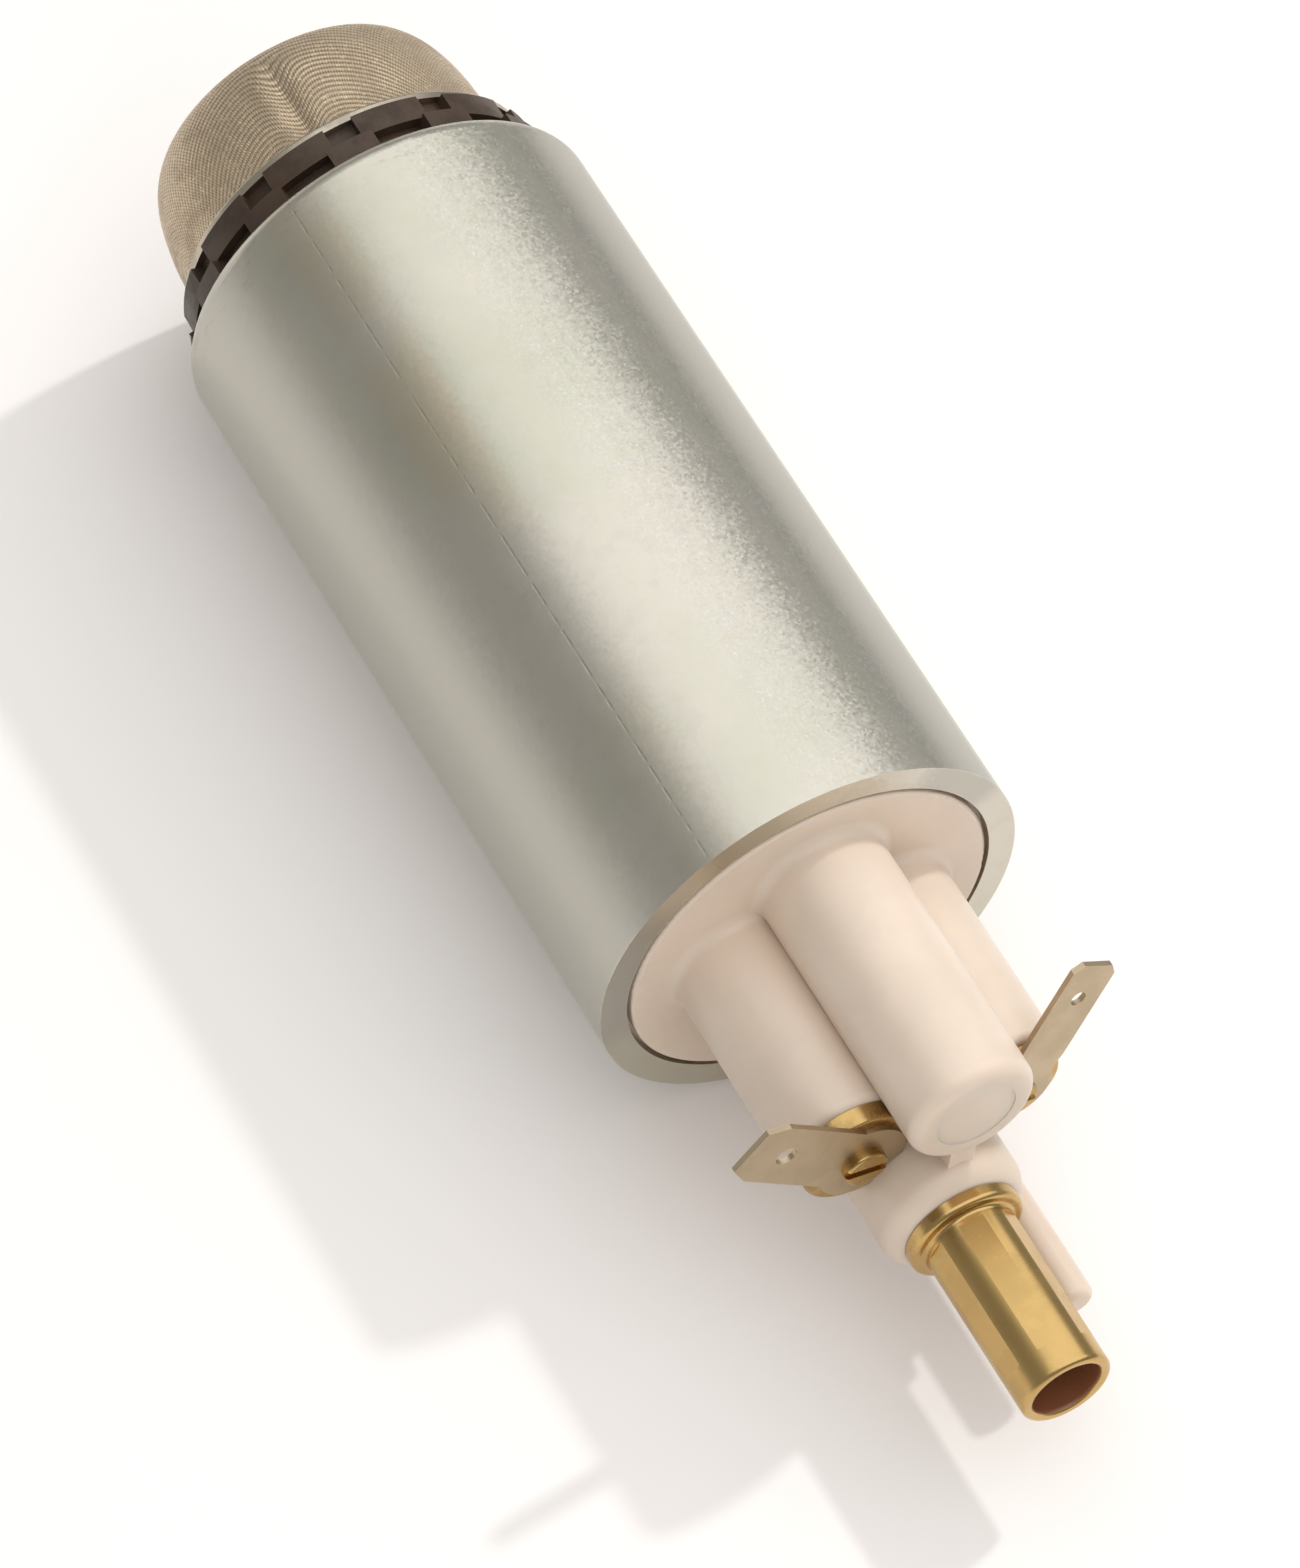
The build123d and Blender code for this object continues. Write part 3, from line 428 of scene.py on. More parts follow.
def wear_group():
    """A mask along a piece's outer edges, where handling rubs the finish."""
    group, start, end = new_group("Edge wear", {"Breakup scale": 600.0})
    soft = add_node(group, "ShaderNodeBevel", {"Radius": 0.18 * MM}, samples=4)
    sharp = add_node(group, "ShaderNodeNewGeometry")
    likeness = add_node(group, "ShaderNodeVectorMath",
                        {0: (soft, "Normal"), 1: (sharp, "Normal")}, operation="DOT_PRODUCT")
    edge = remap(group, (likeness, "Value"), 0.995, 0.88)
    cloud = noise(group, (start, "Vector"), (start, "Breakup scale"), detail=3.0)
    breakup = remap(group, (cloud, "Fac"), 0.35, 0.6)
    mask = mathematics(group, "MULTIPLY", (edge, "Result"), (breakup, "Result"))
    join(group, mask, 0, end, "Mask")
    return group


def stain_group():
    """Faint handling marks that thin out between two places along the pump's axis."""
    group, start, end = new_group("Stains", {"Low": 0.0, "High": 1.0})
    parts = separated(group, start)
    reach = remap(group, (parts, "X"), (start, "Low"), (start, "High"),
                  to_low=0.75, to_high=0.0, smooth=True)
    smears = noise(group, stretched(group, start, (2.4, 1.0, 1.0)),
                   scale=330.0, detail=5.0, roughness=0.7)
    marks = remap(group, (smears, "Fac"), 0.56, 0.66)
    mask = mathematics(group, "MULTIPLY", (reach, "Result"), (marks, "Result"))
    join(group, mask, 0, end, "Mask")
    return group


def seam_group():
    """A fine broken line along the casing, where the rolled tube was welded."""
    group, start, end = new_group("Seam", {
        "Azimuth": 0.0, "Centre height": 0.0, "Radius": 1.0, "Width": 0.16 * MM})
    away = azimuth_from(group, start)
    arc = mathematics(group, "MULTIPLY", (away, 0), (start, "Radius"))
    distance = mathematics(group, "ABSOLUTE", (arc, 0))
    line = remap(group, (distance, 0), 0.0, (start, "Width"), to_low=1.0, to_high=0.0, smooth=True)
    cloud = noise(group, stretched(group, start, (1.0, 0.1, 0.1)), scale=900.0)
    broken = remap(group, (cloud, "Fac"), 0.40, 0.58)
    mask = mathematics(group, "MULTIPLY", (line, "Result"), (broken, "Result"))
    join(group, mask, 0, end, "Mask")
    return group


def side_group():
    """A mask along one side of the casing, fading out towards its edges."""
    group, start, end = new_group("Side", {
        "Azimuth": 0.0, "Centre height": 0.0, "Half width": 0.5})
    # A cosine and its inverse give the short way round, also past half a turn
    away = azimuth_from(group, start)
    nearness = mathematics(group, "COSINE", (away, 0))
    distance = mathematics(group, "ARCCOSINE", (nearness, 0))
    share = mathematics(group, "DIVIDE", (distance, 0), (start, "Half width"))
    fade = remap(group, (share, 0), 0.55, 1.0, to_low=1.0, to_high=0.0, smooth=True)
    join(group, fade, "Result", end, "Mask")
    return group


def bore_group():
    """A mask of what lies nearer to a tube's axis than its bore's radius."""
    group, start, end = new_group("Bore", {"Centre height": 0.0, "Radius": 3.0 * MM})
    parts = separated(group, start)
    height = mathematics(group, "SUBTRACT", (parts, "Z"), (start, "Centre height"))
    distance = distance_from_axis(group, (parts, "Y"), (height, 0))
    past = mathematics(group, "SUBTRACT", (start, "Radius"), (distance, 0))
    inside = remap(group, (past, 0), 0.0, 0.05 * MM)
    join(group, inside, "Result", end, "Mask")
    return group


GROUP_BUILDERS = {
    "Blotches": blotch_group,
    "Fine grain": grain_group,
    "Drawn lines": drawn_line_group,
    "Turning marks": turning_group,
    "Sparkle": sparkle_group,
    "Edge wear": wear_group,
    "Stains": stain_group,
    "Seam": seam_group,
    "Side": side_group,
    "Bore": bore_group,
}


def place_group(tree, name, place, inputs=None):
    """Places a shared effect in a material, reading the given coordinates."""
    if name not in bpy.data.node_groups:
        GROUP_BUILDERS[name]()
    return add_node(tree, "ShaderNodeGroup", {"Vector": place, **(inputs or {})},
                    node_tree=bpy.data.node_groups[name])


def mix_colours(tree, mask, first, second):
    """Mixes two colours by a mask, each a colour or a mix node, and returns the mix node."""
    inputs = {"Factor": mask}
    for index, colour in ((MIX_A, first), (MIX_B, second)):
        is_mix = isinstance(colour, bpy.types.Node)
        inputs[index] = (colour, MIX_RESULT) if is_mix else (*colour, 1.0)
    return add_node(tree, "ShaderNodeMix", inputs, data_type="RGBA")


def shade(colour, factor):
    """A colour made lighter or darker by a factor."""
    return tuple(min(channel * factor, 1.0) for channel in colour)


def new_material(name):
    """An empty material, its shader, and its Object coordinates, ready to be linked."""
    material = bpy.data.materials.new(name)
    material.use_nodes = True
    tree = material.node_tree
    tree.nodes.clear()
    output = add_node(tree, "ShaderNodeOutputMaterial")
    shader = add_node(tree, "ShaderNodeBsdfPrincipled")
    join(tree, shader, "BSDF", output, "Surface")
    return material, tree, shader, (add_node(tree, "ShaderNodeTexCoord"), "Object")


def set_roughness(tree, shader, mask, smooth, rough):
    """Lets roughness follow a mask between two values."""
    span = remap(tree, mask, to_low=smooth, to_high=rough)
    join(tree, span, "Result", shader, "Roughness")


def set_relief(tree, shader, height, distance, strength=1.0, normal=None):
    """Bump from a height that varies over the surface."""
    bump = add_node(tree, "ShaderNodeBump",
                    {"Height": height, "Strength": strength, "Distance": distance})
    if normal:
        join(tree, *normal, bump, "Normal")
    join(tree, bump, "Normal", shader, "Normal")


def patchy_material(name, colour, dark, smooth, rough, patch_scale, wear):
    """A material with darker, rougher patches and rubbed edges, and its colour so far."""
    material, tree, shader, place = new_material(name)
    patches = place_group(tree, "Blotches", place, {"Scale": patch_scale})
    surface = mix_colours(tree, (patches, "Mask"), colour, shade(colour, dark))
    set_roughness(tree, shader, (patches, "Mask"), smooth, rough)
    if wear:
        rubbed = place_group(tree, "Edge wear", place)
        surface = mix_colours(tree, (rubbed, "Mask"), surface, shade(colour, 1 + wear))
    return material, tree, shader, place, surface


def metal(name, colour, dark=0.8, smooth=0.25, rough=0.4, patch_scale=150.0, relief="Fine grain",
          relief_scale=2500.0, depth=0.01 * MM, centre=(0.0, 0.0, 0.0), wear=0.0, bore=None,
          bore_colour=(0.0, 0.0, 0.0)):
    """A bare or plated metal with patches, a relief, rubbed edges and a darker bore."""
    material, tree, shader, place, surface = patchy_material(
        name, colour, dark, smooth, rough, patch_scale, wear)
    shader.inputs["Metallic"].default_value = 1.0
    if bore:
        # Inside the bore the colour turns darker and not metallic
        darkening = place_group(tree, "Bore", place, {"Radius": bore, "Centre height": centre[2]})
        surface = mix_colours(tree, (darkening, "Mask"), surface, bore_colour)
        bare = remap(tree, (darkening, "Mask"), to_low=1.0, to_high=0.0)
        join(tree, bare, "Result", shader, "Metallic")
    join(tree, surface, MIX_RESULT, shader, "Base Color")
    moved = add_node(tree, "ShaderNodeMapping",
                     {"Vector": place, "Location": tuple(-c for c in centre)})
    marks = place_group(tree, relief, (moved, "Vector"), {"Scale": relief_scale})
    set_relief(tree, shader, (marks, "Height"), depth)
    return material


def moulding(name, colour, dark=0.85, smooth=0.35, rough=0.5, patch_scale=200.0,
             grain_scale=3500.0, depth=0.008 * MM, soft=0.0, wear=0.0, shine=0.5):
    """A moulded, pressed or sintered material with a fine grain."""
    material, tree, shader, place, surface = patchy_material(
        name, colour, dark, smooth, rough, patch_scale, wear)
    join(tree, surface, MIX_RESULT, shader, "Base Color")
    grain = place_group(tree, "Fine grain", place, {"Scale": grain_scale})
    set_relief(tree, shader, (grain, "Height"), depth)
    shader.inputs["Specular IOR Level"].default_value = shine
    if soft:
        shader.inputs["Subsurface Weight"].default_value = soft
        shader.inputs["Subsurface Radius"].default_value = (1.0, 0.7, 0.45)
        shader.inputs["Subsurface Scale"].default_value = 2.0 * MM
    return material


def coat(piece, material):
    """Gives every face of a piece the same finish."""
    piece.data.materials.clear()
    piece.data.materials.append(material)
    for face in piece.data.polygons:
        face.material_index = 0


def dress(node, material):
    """Gives a CAD node its finish."""
    coat(frame["nodes"][node], material)


def dress_all(material, *nodes):
    """Gives several CAD nodes the same finish."""
    for node in nodes:
        dress(node, material)


# Modelling helpers


def clear_selection():
    """Leaves object mode with nothing selected."""
    if bpy.context.object and bpy.context.object.mode != "OBJECT":
        bpy.ops.object.mode_set(mode="OBJECT")
    bpy.ops.object.select_all(action="DESELECT")


def select_only(piece):
    """Selects one piece and makes it the active one."""
    clear_selection()
    piece.select_set(True)
    bpy.context.view_layer.objects.active = piece


def tidy_shell(piece, distance):
    """Merges doubled points and turns every face outwards."""
    select_only(piece)
    bpy.ops.object.mode_set(mode="EDIT")
    bpy.ops.mesh.select_all(action="SELECT")
    bpy.ops.mesh.remove_doubles(threshold=distance)
    bpy.ops.mesh.normals_make_consistent(inside=False)
    bpy.ops.object.mode_set(mode="OBJECT")


# Strainer's wire cloth


def smooth_step(value, low, high):
    """0 below low, 1 above high, and a smooth change between them."""
    share = min(max((value - low) / (high - low), 0.0), 1.0)
    return share * share * (3 - 2 * share)


def cup_profile(cloth, inset, steps):
    """Points of the cup's half section, from its mouth to the middle of its crown.

    Each is its x, its radius, and its distance along the cloth from the crown's middle.
    """
    mouth_x = CUP_HIGH[0]
    mouth_r = (CUP_HIGH[1] - CUP_LOW[1]) / 2 - inset
    depth = CUP_HIGH[0] - CUP_LOW[0] - inset
    shoulder_r = mouth_r - cloth.draft
    crown_r = mouth_r - cloth.crown_inset
    crown_depth = depth - cloth.dome
    outline = [(0.0, mouth_r), (cloth.shoulder, shoulder_r)]
    for i in range(1, CORNER_STEPS + 1):
        turn = math.pi / 2 * i / CORNER_STEPS
        outline.append((
            cloth.shoulder
            + (crown_depth - cloth.shoulder) * math.sin(turn) ** CORNER_SQUARENESS,
            crown_r + (shoulder_r - crown_r) * math.cos(turn) ** CORNER_SQUARENESS,
        ))
    for i in range(1, CORNER_STEPS + 1):
        share = i / CORNER_STEPS
        outline.append((crown_depth + cloth.dome * (1 - (1 - share) ** 2), crown_r * (1 - share)))
    lengths = [0.0]
    for (x0, r0), (x1, r1) in zip(outline, outline[1:]):
        lengths.append(lengths[-1] + math.hypot(x1 - x0, r1 - r0))
    points = []
    segment = 0
    for i in range(steps + 1):
        wanted = lengths[-1] * i / steps
        while segment < len(outline) - 2 and lengths[segment + 1] < wanted:
            segment += 1
        share = (wanted - lengths[segment]) / (lengths[segment + 1] - lengths[segment])
        (x0, r0), (x1, r1) = outline[segment], outline[segment + 1]
        points.append((mouth_x - x0 - (x1 - x0) * share, r0 + (r1 - r0) * share,
                       lengths[-1] - wanted))
    return points


def hump(value, width):
    """1 at nought, and falling away on both sides over a width."""
    return math.exp(-(value / width) ** 2)


def turn_from_pinch(cloth, azimuth):
    """The angle from the pinch to an azimuth, the short way round."""
    return (azimuth - cloth.pinch_azimuth + math.pi) % (2 * math.pi) - math.pi


def cloth_coordinates(cloth, reach, azimuth):
    """Where a point of the cup lay in the flat cloth, after the pinch has pulled the ribs."""
    turn = turn_from_pinch(cloth, azimuth)
    pull = hump(turn, PULL_WIDTH) * smooth_step(reach, WALL_REACH, PULL_REACH)
    across_ribs = reach * math.cos(turn) - cloth.pinch_pull * pull
    return across_ribs, reach * math.sin(turn)


def cloth_relief(cloth, reach, azimuth, mouth_reach):
    """How far a point of the cloth stands out of the plain cup."""
    turn = turn_from_pinch(cloth, azimuth)
    wall = smooth_step(reach, WALL_REACH, FOLD_REACH)
    wall *= smooth_step(mouth_reach - reach, 0.0, MOUTH_FADE)
    fold = LIP_SHARE * hump(abs(turn) - LIP_PLACE, LIP_WIDTH) - hump(turn, FOLD_WIDTH)
    ribs_from = cloth_coordinates(cloth, reach, azimuth)[0]
    ribs = math.cos(2 * math.pi * ribs_from / cloth.rib_pitch) * cloth.rib_height / 2
    ribs *= smooth_step(mouth_reach - reach, 0.0, RIB_FADE)
    slack = math.sin(SLACK_WAVES_ROUND * azimuth + SLACK_TURN_PER_METRE * reach)
    stand = cloth.pinch_depth * fold + SLACK_HEIGHT * slack
    return wall * stand + ribs - cloth.rib_height / 2


def weave_strainer(cloth):
    """Lays a flat grid of cloth round the cup, and presses ribs and the pinch into it."""
    outer = cup_profile(cloth, 0.0, CLOTH_OUTER_STEPS)
    inner = cup_profile(cloth, cloth.wall, CLOTH_INNER_STEPS)
    inner.reverse()
    mouth_reach = outer[0][2]
    rows = [(point, False) for point in inner] + [(point, True) for point in outer]
    clear_selection()
    bpy.ops.mesh.primitive_grid_add(
        x_subdivisions=len(rows) - 1, y_subdivisions=CLOTH_AROUND, size=2.0,
        location=(0, 0, 0))
    piece = bpy.context.object
    piece.name = "strainer_cloth"
    mesh = piece.data
    flat = [vertex.co.copy() for vertex in mesh.vertices]
    layer = mesh.uv_layers.active or mesh.uv_layers.new(name="UVMap")
    layer.name = "cloth"
    spots = [(0.0, 0.0)] * len(mesh.vertices)
    for vertex, spot in zip(mesh.vertices, flat):
        (x, r, reach), is_outer = rows[round((spot.x + 1) / 2 * (len(rows) - 1))]
        azimuth = (spot.y + 1) * math.pi
        if is_outer:
            r = max(r + cloth_relief(cloth, reach, azimuth, mouth_reach)
                    * smooth_step(r, 0.0, CENTRE_FADE), 0.0)
        spots[vertex.index] = cloth_coordinates(cloth, reach, azimuth)
        vertex.co = (x, r * math.cos(azimuth), AXIS_Z + r * math.sin(azimuth))
    for loop in mesh.loops:
        across_ribs, along_ribs = spots[loop.vertex_index]
        layer.data[loop.index].uv = (across_ribs / cloth.rib_pitch, along_ribs / cloth.wire_pitch)
    tidy_shell(piece, distance=0.002 * MM)
    select_only(piece)
    bpy.ops.object.shade_smooth()
    return piece


def cloth_material(finish):
    """Woven wire: ribs with fine wires across them, and painted shade in the valleys between."""
    material, tree, shader, place = new_material("Wire cloth")
    shader.inputs["Metallic"].default_value = 0.75
    spot = add_node(tree, "ShaderNodeUVMap", uv_map="cloth")
    parts = add_node(tree, "ShaderNodeSeparateXYZ", {"Vector": (spot, "UV")})
    heights = []
    for output in ("X", "Y"):
        phase = mathematics(tree, "MULTIPLY", (parts, output), 2 * math.pi)
        wave = mathematics(tree, "COSINE", (phase, 0))
        half = mathematics(tree, "MULTIPLY", (wave, 0), 0.5)
        heights.append(mathematics(tree, "ADD", (half, 0), 0.5))
    fine = mathematics(tree, "MULTIPLY", (heights[1], 0), FINE_WIRE_SHARE)
    total = mathematics(tree, "ADD", (heights[0], 0), (fine, 0))
    crest = remap(tree, (total, 0), 0.1, 1.5)
    patches = place_group(tree, "Blotches", place, {"Scale": 260.0})
    warm = mix_colours(tree, (patches, "Mask"), finish.cloth, shade(finish.cloth, 0.82))
    # Painted shade: the valleys between the ribs and wires are painted at 0.42 of the cloth's
    # colour
    surface = mix_colours(tree, (crest, "Result"), shade(finish.cloth, 0.42), warm)
    grain = place_group(tree, "Fine grain", place, {"Scale": 3600.0})
    surface = mix_colours(tree, (grain, "Spots"), surface, shade(finish.cloth, 1.3))
    join(tree, surface, MIX_RESULT, shader, "Base Color")
    set_roughness(tree, shader, (patches, "Mask"), 0.36, 0.5)
    set_relief(tree, shader, (total, 0), 0.036 * MM, 0.8)
    return material


# Operators


class FUELPUMP_OT_stage(bpy.types.Operator):
    """Sets the floor, the lamps, the surroundings and the camera"""

    bl_idname = "fuel_pump.stage"
    bl_label = "Stage"

    def execute(self, context):
        stage = context.scene.fuel_pump_stage
        clear_selection()
        bpy.ops.mesh.primitive_plane_add(size=stage.floor_size, location=(0, 0, 0))
        floor = context.object
        floor.name = "studio_floor"
        floor.data.materials.append(self.floor_material(stage))
        self.surroundings(context, stage)
        self.lamp("softbox", stage.softbox_place, stage.softbox_width, stage.softbox_power)
        self.lamp("key", stage.key_place, stage.key_width, stage.key_power, glossy=False)
        self.lamp("fill", stage.fill_place, stage.fill_width, stage.fill_power, glossy=False)
        bpy.ops.object.camera_add(location=stage.camera_place, rotation=stage.camera_turn)
        camera = context.object
        camera.name = "photograph_camera"
        camera.data.lens = stage.camera_lens
        camera.data.sensor_width = 36.0
        camera.data.clip_start = 0.05
        camera.data.clip_end = 20.0
        context.scene.camera = camera
        context.scene.view_settings.view_transform = "Standard"
        return {"FINISHED"}

    def floor_material(self, stage):
        """Plain pale paper, a little brighter for what looks straight at it."""
        material, tree, shader, place = new_material("Studio floor")
        patches = place_group(tree, "Blotches", place, {"Scale": 6.0})
        surface = mix_colours(tree, (patches, "Mask"), stage.floor_colour,
                              shade(stage.floor_colour, 0.985))
        join(tree, surface, MIX_RESULT, shader, "Base Color")
        shader.inputs["Roughness"].default_value = 0.9
        shader.inputs["Specular IOR Level"].default_value = 0.1
        path = add_node(tree, "ShaderNodeLightPath")
        seen = mathematics(tree, "ADD", (path, "Is Camera Ray"), (path, "Is Glossy Ray"))
        seen = mathematics(tree, "ADD", (seen, 0), (path, "Is Transmission Ray"))
        lift = mathematics(tree, "MULTIPLY", (seen, 0), stage.floor_lift)
        shader.inputs["Emission Color"].default_value = (*stage.floor_glow, 1.0)
        join(tree, lift, 0, shader, "Emission Strength")
        return material

    def surroundings(self, context, stage):
        """An even, dim room."""
        world = bpy.data.worlds.new("Studio")
        world.use_nodes = True
        background = world.node_tree.nodes["Background"]
        background.inputs["Color"].default_value = (*stage.world_colour, 1.0)
        context.scene.world = world

    def lamp(self, name, place, width, power, glossy=True):
        """A round lamp that faces the pump, seen in reflections or not."""
        aim = Vector(AXIS) - Vector(place)
        bpy.ops.object.light_add(type="AREA", location=place,
                                 rotation=aim.to_track_quat("-Z", "Y").to_euler())
        light = bpy.context.object
        light.name = name
        light.data.shape = "DISK"
        light.data.size = width
        light.data.energy = power
        light.visible_glossy = glossy


class FUELPUMP_OT_casing(bpy.types.Operator):
    """Gives the rolled casing its zinc plating, with painted shade on two sides and painted glints
    along one
    """

    bl_idname = "fuel_pump.casing"
    bl_label = "Casing"

    def execute(self, context):
        finish = context.scene.fuel_pump_finish
        material, tree, shader, place = new_material("Zinc plate")
        shader.inputs["Metallic"].default_value = 1.0
        cream = finish.zinc
        olive = (cream[0] * 0.86, cream[1] * 0.90, cream[2] * 0.84)
        broad = place_group(tree, "Blotches", place, {"Scale": 38.0, "From": 0.35, "To": 0.72})
        fine = place_group(tree, "Blotches", place, {"Scale": 520.0, "From": 0.45, "To": 0.8})
        surface = mix_colours(tree, (broad, "Mask"), cream, olive)
        surface = mix_colours(tree, (fine, "Mask"), surface, shade(cream, 0.93))
        # Painted shade: darker zinc painted on two sides of the casing, standing in for darker
        # reflections there
        for azimuth, spread in ((finish.painted_shade_azimuth, finish.painted_shade_spread),
                                (finish.painted_streak_azimuth, finish.painted_streak_spread)):
            shaded = self.side(tree, place, azimuth, spread)
            surface = mix_colours(tree, (shaded, "Mask"), surface, finish.zinc_painted_shade)
        heat = self.side(tree, place, finish.seam_azimuth, finish.heat_spread)
        tint = mathematics(tree, "MULTIPLY", (heat, "Mask"), (broad, "Mask"))
        surface = mix_colours(tree, (tint, 0), surface, finish.zinc_heat)
        stains = place_group(tree, "Stains", place,
                             {"Low": CASING_LOW[0], "High": CASING_LOW[0] + 7 * MM})
        surface = mix_colours(tree, (stains, "Mask"), surface, finish.zinc_stain)
        seam = place_group(tree, "Seam", place, {
            "Azimuth": finish.seam_azimuth, "Centre height": AXIS_Z, "Radius": CASING_HIGH[1]})
        surface = mix_colours(tree, (seam, "Mask"), surface, shade(cream, 0.74))
        rubbed = place_group(tree, "Edge wear", place)
        surface = mix_colours(tree, (rubbed, "Mask"), surface, shade(cream, 1.08))
        grain = place_group(tree, "Fine grain", place, {"Scale": 3800.0})
        # Painted glints: the grain's high spots along one side are painted a lighter, bluish
        # colour; the same side's crystals also tilt more, below
        glint_and_crystal_side = self.side(tree, place, finish.glint_and_crystal_azimuth, finish.glint_and_crystal_spread)
        glinting = mathematics(tree, "MULTIPLY", (glint_and_crystal_side, "Mask"), (grain, "Spots"))
        surface = mix_colours(tree, (glinting, 0), surface, finish.zinc_painted_glint)
        join(tree, surface, MIX_RESULT, shader, "Base Color")
        set_roughness(tree, shader, (grain, "Spots"), 0.36, 0.42)
        lines = place_group(tree, "Drawn lines", place, {"Scale": 700.0})
        height = mathematics(tree, "ADD", (grain, "Height"), (lines, "Height"))
        groove = mathematics(tree, "MULTIPLY", (seam, "Mask"), -3.0)
        height = mathematics(tree, "ADD", (height, 0), (groove, 0))
        tilt = remap(tree, (glint_and_crystal_side, "Mask"), to_low=0.025, to_high=0.1)
        geometry = add_node(tree, "ShaderNodeNewGeometry")
        sparkle = place_group(tree, "Sparkle", place, {
            "Scale": 4000.0, "Tilt": (tilt, "Result"), "Normal": (geometry, "Normal")})
        set_relief(tree, shader, (height, 0), 0.004 * MM, 1.0, (sparkle, "Normal"))
        dress("casing", material)
        return {"FINISHED"}

    def side(self, tree, place, azimuth, spread):
        """A mask along one side of the casing."""
        return place_group(tree, "Side", place, {
            "Azimuth": azimuth, "Half width": spread, "Centre height": AXIS_Z})


class FUELPUMP_OT_cap(bpy.types.Operator):
    """Gives the outlet cap, its seal and the small plastic pieces their finishes"""

    bl_idname = "fuel_pump.cap"
    bl_label = "Outlet cap"

    def execute(self, context):
        finish = context.scene.fuel_pump_finish
        plastic = moulding("Ivory plastic", finish.plastic, dark=0.95, smooth=0.3, rough=0.4,
                           patch_scale=90.0, depth=0.004 * MM, soft=0.35)
        dress_all(plastic, "outlet_end_cap", "relief_plug")
        dress("cap_seal", moulding("Seal rubber", (0.11, 0.08, 0.06), smooth=0.5, rough=0.7))
        dark = moulding("Filled plastic", (0.16, 0.14, 0.12), smooth=0.45, rough=0.6)
        dress_all(dark, "check_valve", "thrust_washer_upper", "thrust_washer_lower")
        return {"FINISHED"}


class FUELPUMP_OT_brass(bpy.types.Operator):
    """Gives the nipple, the brush caps and the screws their brass"""

    bl_idname = "fuel_pump.brass"
    bl_label = "Brass"

    def execute(self, context):
        finish = context.scene.fuel_pump_finish
        nipple = metal("Turned brass", finish.brass, dark=0.92, smooth=0.24, rough=0.33,
                       patch_scale=200.0, relief="Turning marks", relief_scale=2400.0,
                       depth=0.005 * MM, centre=(0.0, 0.0, NIPPLE_Z), wear=0.12,
                       bore=finish.nipple_bore, bore_colour=finish.darkening)
        dress("outlet_nipple", nipple)
        pressed = metal("Pressed brass", shade(finish.brass, 0.92), dark=0.8, smooth=0.2,
                        rough=0.36, patch_scale=420.0, wear=0.15)
        dress_all(pressed, "brush_cap_left", "brush_cap_right", "terminal_screws")
        return {"FINISHED"}


class FUELPUMP_OT_blades(bpy.types.Operator):
    """Gives the two blade terminals their tinned plate"""

    bl_idname = "fuel_pump.blades"
    bl_label = "Blade terminals"

    def execute(self, context):
        finish = context.scene.fuel_pump_finish
        plate = metal("Tinned plate", finish.tin, dark=0.93, smooth=0.38, rough=0.46,
                      patch_scale=260.0, relief="Drawn lines", relief_scale=1500.0,
                      depth=0.006 * MM, wear=0.15)
        dress_all(plate, "terminal_wide", "terminal_narrow")
        return {"FINISHED"}


class FUELPUMP_OT_inlet(bpy.types.Operator):
    """Gives the castellated inlet body and the strainer's rim their finishes"""

    bl_idname = "fuel_pump.inlet"
    bl_label = "Inlet body"

    def execute(self, context):
        finish = context.scene.fuel_pump_finish
        ring = moulding("Inlet moulding", finish.inlet, dark=0.7, smooth=0.34, rough=0.5,
                        patch_scale=300.0, depth=0.01 * MM, wear=0.5, shine=0.3)
        dress("inlet_body", ring)
        dress("strainer_rim", metal("Bright rim", (0.52, 0.46, 0.37), dark=0.85, smooth=0.3,
                                    rough=0.45, patch_scale=500.0))
        return {"FINISHED"}


class FUELPUMP_OT_strainer(bpy.types.Operator):
    """Weaves the strainer's cup of wire cloth"""

    bl_idname = "fuel_pump.strainer"
    bl_label = "Strainer"

    def execute(self, context):
        piece = weave_strainer(context.scene.fuel_pump_cloth)
        piece.data.materials.append(cloth_material(context.scene.fuel_pump_finish))
        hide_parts("strainer_mesh")
        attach(piece, "pump")
        return {"FINISHED"}


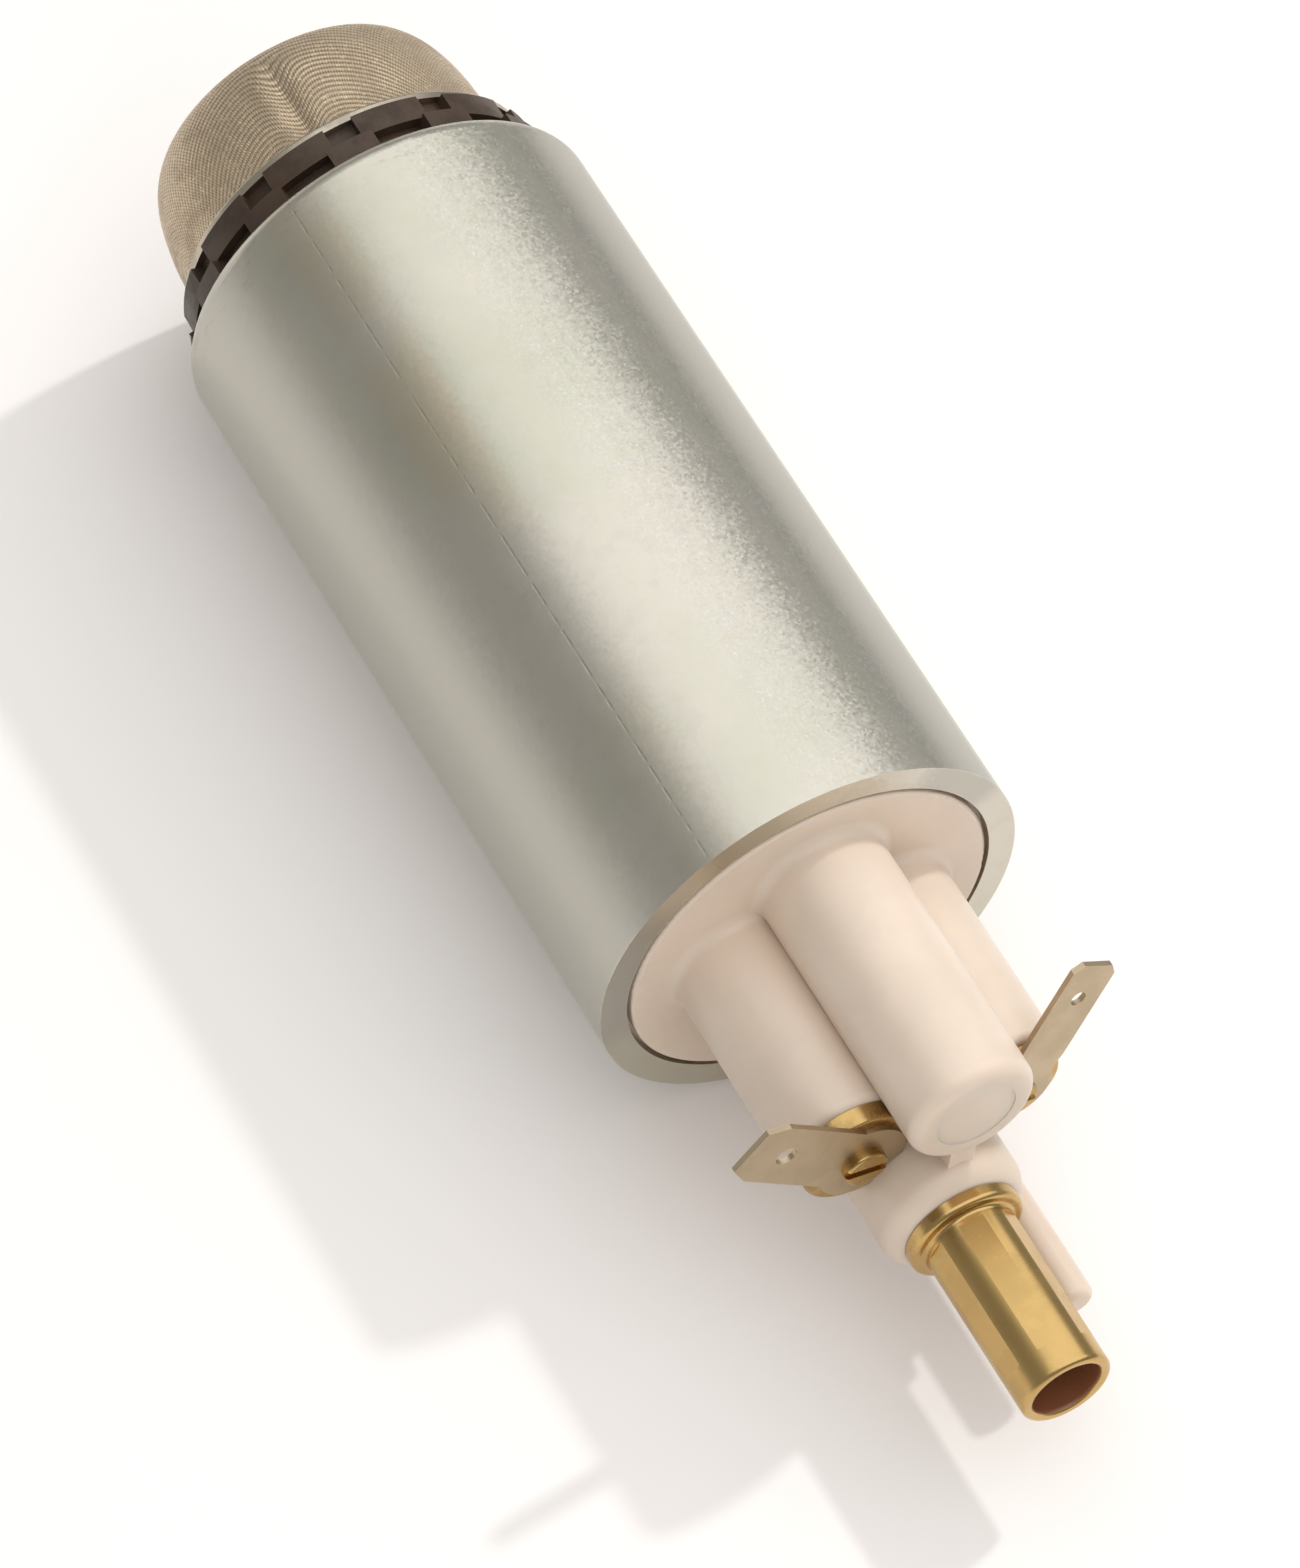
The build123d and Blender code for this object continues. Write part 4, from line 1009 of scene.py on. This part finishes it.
class FUELPUMP_OT_motor(bpy.types.Operator):
    """Gives the motor, the relief ball and the rotor housing their finishes"""

    bl_idname = "fuel_pump.motor"
    bl_label = "Motor"

    def execute(self, context):
        dress_all(metal("Polished steel", (0.62, 0.62, 0.63), smooth=0.12, rough=0.22,
                        relief="Turning marks", relief_scale=3000.0, depth=0.003 * MM,
                        centre=AXIS), "armature_shaft", "relief_ball")
        dress_all(metal("Rolled steel", (0.42, 0.42, 0.43), relief="Drawn lines",
                        relief_scale=1200.0), "flux_sleeve", "rotor_housing")
        dress("armature_core", metal("Laminations", (0.34, 0.34, 0.36), relief="Turning marks",
                                     relief_scale=5000.0, depth=0.05 * MM, centre=AXIS))
        dress("armature_winding", metal("Enamelled wire", (0.52, 0.20, 0.07), smooth=0.15,
                                        rough=0.3, relief="Turning marks", relief_scale=4000.0,
                                        depth=0.2 * MM, centre=AXIS))
        dress("magnet_clips", metal("Clip steel", (0.48, 0.48, 0.49), smooth=0.2, rough=0.34))
        dress("commutator_segments", metal("Turned copper", (0.70, 0.36, 0.22), smooth=0.16,
                                           rough=0.3, relief="Turning marks",
                                           relief_scale=3000.0, centre=AXIS))
        dress("commutator_hub", moulding("Phenolic", (0.07, 0.04, 0.03), smooth=0.3))
        dress_all(moulding("Ceramic magnet", (0.07, 0.07, 0.075), rough=0.6, grain_scale=2000.0,
                           depth=0.02 * MM), "magnet_upper", "magnet_lower")
        dress_all(moulding("Pressed carbon", (0.035, 0.035, 0.037), smooth=0.45, rough=0.65,
                           depth=0.02 * MM), "brush_left", "brush_right")
        dress_all(metal("Sintered bronze", (0.48, 0.31, 0.17), smooth=0.35, rough=0.55,
                        depth=0.03 * MM), "upper_bearing", "lower_bearing")
        return {"FINISHED"}


class FUELPUMP_OT_springs(bpy.types.Operator):
    """Copies the springs as wire of their own, in spring steel"""

    bl_idname = "fuel_pump.springs"
    bl_label = "Springs"

    def execute(self, context):
        steel = metal("Spring steel", (0.50, 0.50, 0.51), smooth=0.18, rough=0.3)
        for joint in frame["record"]["behaviour"]["joints"]:
            for row in joint.get("deforming_nodes", ()):
                self.copy_spring(row["node"], joint, row["fixed_end_x_m"], steel)
        return {"FINISHED"}

    def copy_spring(self, node, joint, fixed_end, steel):
        """Copies a spring as wire of its own."""
        select_only(frame["nodes"][node])
        bpy.ops.object.duplicate(linked=False)
        spring = bpy.context.object
        spring.name = node + "_wire"
        del spring["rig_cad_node"]
        tidy_shell(spring, distance=0.0005 * MM)
        coat(spring, steel)
        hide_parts(node)
        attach(spring, "pump")
        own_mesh(spring)


class FUELPUMP_OT_pumping(bpy.types.Operator):
    """Gives the pumping section's plates and rotors their finishes"""

    bl_idname = "fuel_pump.pumping"
    bl_label = "Pumping section"

    def execute(self, context):
        dress_all(metal("Machined aluminium", (0.66, 0.67, 0.68), smooth=0.24, rough=0.38,
                        relief="Turning marks", relief_scale=2200.0, depth=0.01 * MM,
                        centre=AXIS), "port_plate", "inlet_plate")
        dress_all(metal("Sintered iron", (0.30, 0.30, 0.30), smooth=0.35, rough=0.5,
                        depth=0.02 * MM), "outer_rotor", "inner_rotor")
        return {"FINISHED"}


class FUELPUMP_PT_panel(bpy.types.Panel):
    """Lists the steps that dress the pump"""

    bl_idname = "FUELPUMP_PT_panel"
    bl_label = "Fuel lift pump"
    bl_space_type = "VIEW_3D"
    bl_region_type = "UI"
    bl_category = "Fuel pump"

    def draw(self, context):
        for operator in OPERATORS:
            self.layout.operator(operator.bl_idname)


OPERATORS = (
    FUELPUMP_OT_stage,
    FUELPUMP_OT_casing,
    FUELPUMP_OT_cap,
    FUELPUMP_OT_brass,
    FUELPUMP_OT_blades,
    FUELPUMP_OT_inlet,
    FUELPUMP_OT_strainer,
    FUELPUMP_OT_motor,
    FUELPUMP_OT_springs,
    FUELPUMP_OT_pumping,
)
SETTINGS = (
    ("fuel_pump_stage", StageSettings),
    ("fuel_pump_finish", FinishSettings),
    ("fuel_pump_cloth", ClothSettings),
)


def register():
    """Registers the settings, the operators and the panel."""
    for name, group in SETTINGS:
        bpy.utils.register_class(group)
        setattr(bpy.types.Scene, name, bpy.props.PointerProperty(type=group))
    for operator in OPERATORS:
        bpy.utils.register_class(operator)
    bpy.utils.register_class(FUELPUMP_PT_panel)


def unregister():
    """Takes everything back that register added."""
    bpy.utils.unregister_class(FUELPUMP_PT_panel)
    for operator in reversed(OPERATORS):
        bpy.utils.unregister_class(operator)
    for name, group in reversed(SETTINGS):
        delattr(bpy.types.Scene, name)
        bpy.utils.unregister_class(group)


def main():
    """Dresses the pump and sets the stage."""
    register()
    bpy.ops.fuel_pump.casing()
    bpy.ops.fuel_pump.cap()
    bpy.ops.fuel_pump.brass()
    bpy.ops.fuel_pump.blades()
    bpy.ops.fuel_pump.inlet()
    bpy.ops.fuel_pump.strainer()
    bpy.ops.fuel_pump.motor()
    bpy.ops.fuel_pump.springs()
    bpy.ops.fuel_pump.pumping()
    bpy.ops.fuel_pump.stage()


if __name__ == "__main__":
    main()
